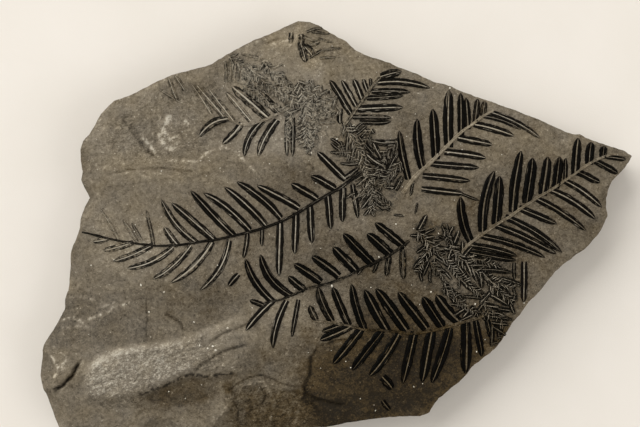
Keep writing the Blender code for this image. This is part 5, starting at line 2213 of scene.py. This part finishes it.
# Rows of leaves, and how black each is from its first leaf to its last
ROWS = {
    "long_upper_leaves": (LONG_UP,
        Carbon(((0.0, 1.0), (0.5, 0.95), (0.66, 0.62), (1.0, 0.34)), rise=1.1, skew=0.10)),
    "long_lower_leaves": (LONG_DOWN,
        Carbon(((0.0, 0.85), (0.4, 0.78), (0.6, 0.62), (1.0, 0.54)), ((0.0, 0.09), (0.4, 0.12), (1.0, 0.16)),
             pale=0.06)),
    "middle_upper_leaves": (MIDDLE_UP,
        Carbon(((0.0, 1.0), (0.7, 0.95), (1.0, 0.7)), rise=1.1, skew=0.12, pale=-0.22, widen=1.24)),
    "middle_lower_leaves": (MIDDLE_DOWN, Carbon(((0.0, 0.65), (1.0, 0.85)))),
    "lower_upper_leaves": (LOWER_UP,
        Carbon(((0.0, 1.0), (0.55, 0.95), (1.0, 0.55)), rise=1.1, skew=0.14, pale=-0.27, widen=1.30)),
    "lower_lower_leaves": (LOWER_DOWN,
        Carbon(((0.0, 1.0), (0.7, 0.95), (1.0, 0.7)), rise=1.1, skew=-0.12, pale=-0.22, widen=1.30)),
    "upper_upper_leaves": (UPPER_UP, Carbon(((0.0, 0.75), (1.0, 0.7)))),
    "upper_lower_leaves": (UPPER_DOWN, Carbon(((0.0, 0.8), (1.0, 0.7)))),
    "upper_right_upper_leaves": (UPPER_RIGHT_UP,
        Carbon(((0.0, 1.0), (0.6, 0.9), (1.0, 0.55)), rise=1.1, pale=-0.26, widen=1.2)),
    "upper_right_lower_leaves": (UPPER_RIGHT_DOWN, Carbon(((0.0, 0.7), (1.0, 0.8)))),
    "far_right_upper_leaves": (FAR_RIGHT_UP,
        Carbon(((0.0, 1.0), (0.8, 0.95), (1.0, 0.7)), rise=1.1, pale=-0.3, widen=1.24)),
    "far_right_lower_leaves": (FAR_RIGHT_DOWN, Carbon(((0.0, 0.8), (1.0, 0.8)), pale=-0.06)),
    "upper_left_upper_leaves": (UPPER_LEFT_UP, Carbon(((0.0, 0.5), (0.14, 0.50), (0.25, 0.42), (1.0, 0.34)))),
    "upper_left_lower_leaves": (UPPER_LEFT_DOWN,
        Carbon(((0.0, 0.72), (1.0, 0.58)), ((0.0, 0.13), (1.0, 0.11)), pale=0.08)),
    "loose_leaves": (LOOSE, Carbon(((0.0, 1.0), (1.0, 0.9)))),
    "crown_sprigs": (CROWN, Carbon(((0.0, 0.52), (0.7, 0.46), (1.0, 0.36)), rise=1.3, pale=0.14)),
    "centre_sprigs": (CENTRE, Carbon(((0.0, 0.72), (1.0, 0.65)), rise=1.4, pale=0.12)),
    "right_sprigs": (RIGHT, Carbon(((0.0, 0.75), (1.0, 0.75)), rise=1.5, pale=0.10)),
    "lower_scrap": ([(384, 403, 390, 411, 0.3, 5.5)], Carbon(((0.0, 1.0), (1.0, 1.0)))),
    "top_scraps": (TOP, Carbon(((0.0, 0.55), (1.0, 0.42)), pale=0.05)),
}


def main() -> None:
    """Builds the pieces in order and sets up the studio."""
    logging.basicConfig(level=logging.INFO, format="%(message)s")
    face = StoneFace()
    surface = shale_group(ShaleColours())
    shale = WeatheredShale(surface).make()
    carbon = CarbonFilm(surface).make()
    pieces = [ShaleStone(face).build(shale)]
    blank = LeafBlank()
    for name, (rows, film) in ROWS.items():
        pieces.append(LeafRow(name, rows, film, face, blank).build(carbon))
    for stem in (
        Stem("long_stem", LONG_STEM, face, 4.0, 0.5, film=0.75),
        Stem("middle_stem", MIDDLE_STEM, face, 3.6, 0.6, film=0.6),
        Stem("lower_stem", LOWER_STEM, face, 3.8, 0.6, film=0.35, pale=0.05),
        Stem("upper_stem", UPPER_STEM, face, 3.6, 1.3, film=0.45, pale=0.05),
        Stem("upper_right_stem", UPPER_RIGHT_STEM, face, 3.0, 1.9, film=0.15, pale=0.16),
        Stem("far_right_stem", FAR_RIGHT_STEM, face, 3.0, 1.3, film=0.2, pale=0.12),
        Stem("upper_left_stem", UPPER_LEFT_STEM, face, 3.4, 0.6, film=0.2, pale=0.05),
    ):
        pieces.append(stem.build(carbon))
    section = ((0.0, 1.0), (0.333, 0.35), (0.667, 0.8), (1.0, -0.5))
    small = LeafBlank(across_cells=6, along_cells=8, section=section)
    for name, (sprigs, cover, pale) in TANGLES.items():
        rng = np.random.default_rng(len(name))
        rows = [leaflet for sprig in sprigs for leaflet in sprig.leaflets(rng)]
        film = Carbon(((0.0, cover), (1.0, cover)), ((0.0, 0.07), (1.0, 0.04)), rise=2.1, pale=pale)
        pieces.append(LeafRow(name, rows, film, face, small, root=0.0).build(carbon))
        for index, sprig in enumerate(sprigs):
            twig = Stem(f"{name[:-9]}_twig_{index}", sprig.way, face, 1.8, 0.7, film=0.2, pale=0.12,
                        along_cells=24, across_cells=6)
            pieces.append(twig.build(carbon))
    pieces.append(Grit(GRIT_PLACES, face).build(PALE_GRAIN.make()))
    for piece in pieces:
        LOG.info("%s: %d faces", piece.name, len(piece.data.polygons))
    Studio().set_up()


if __name__ == "__main__":
    main()
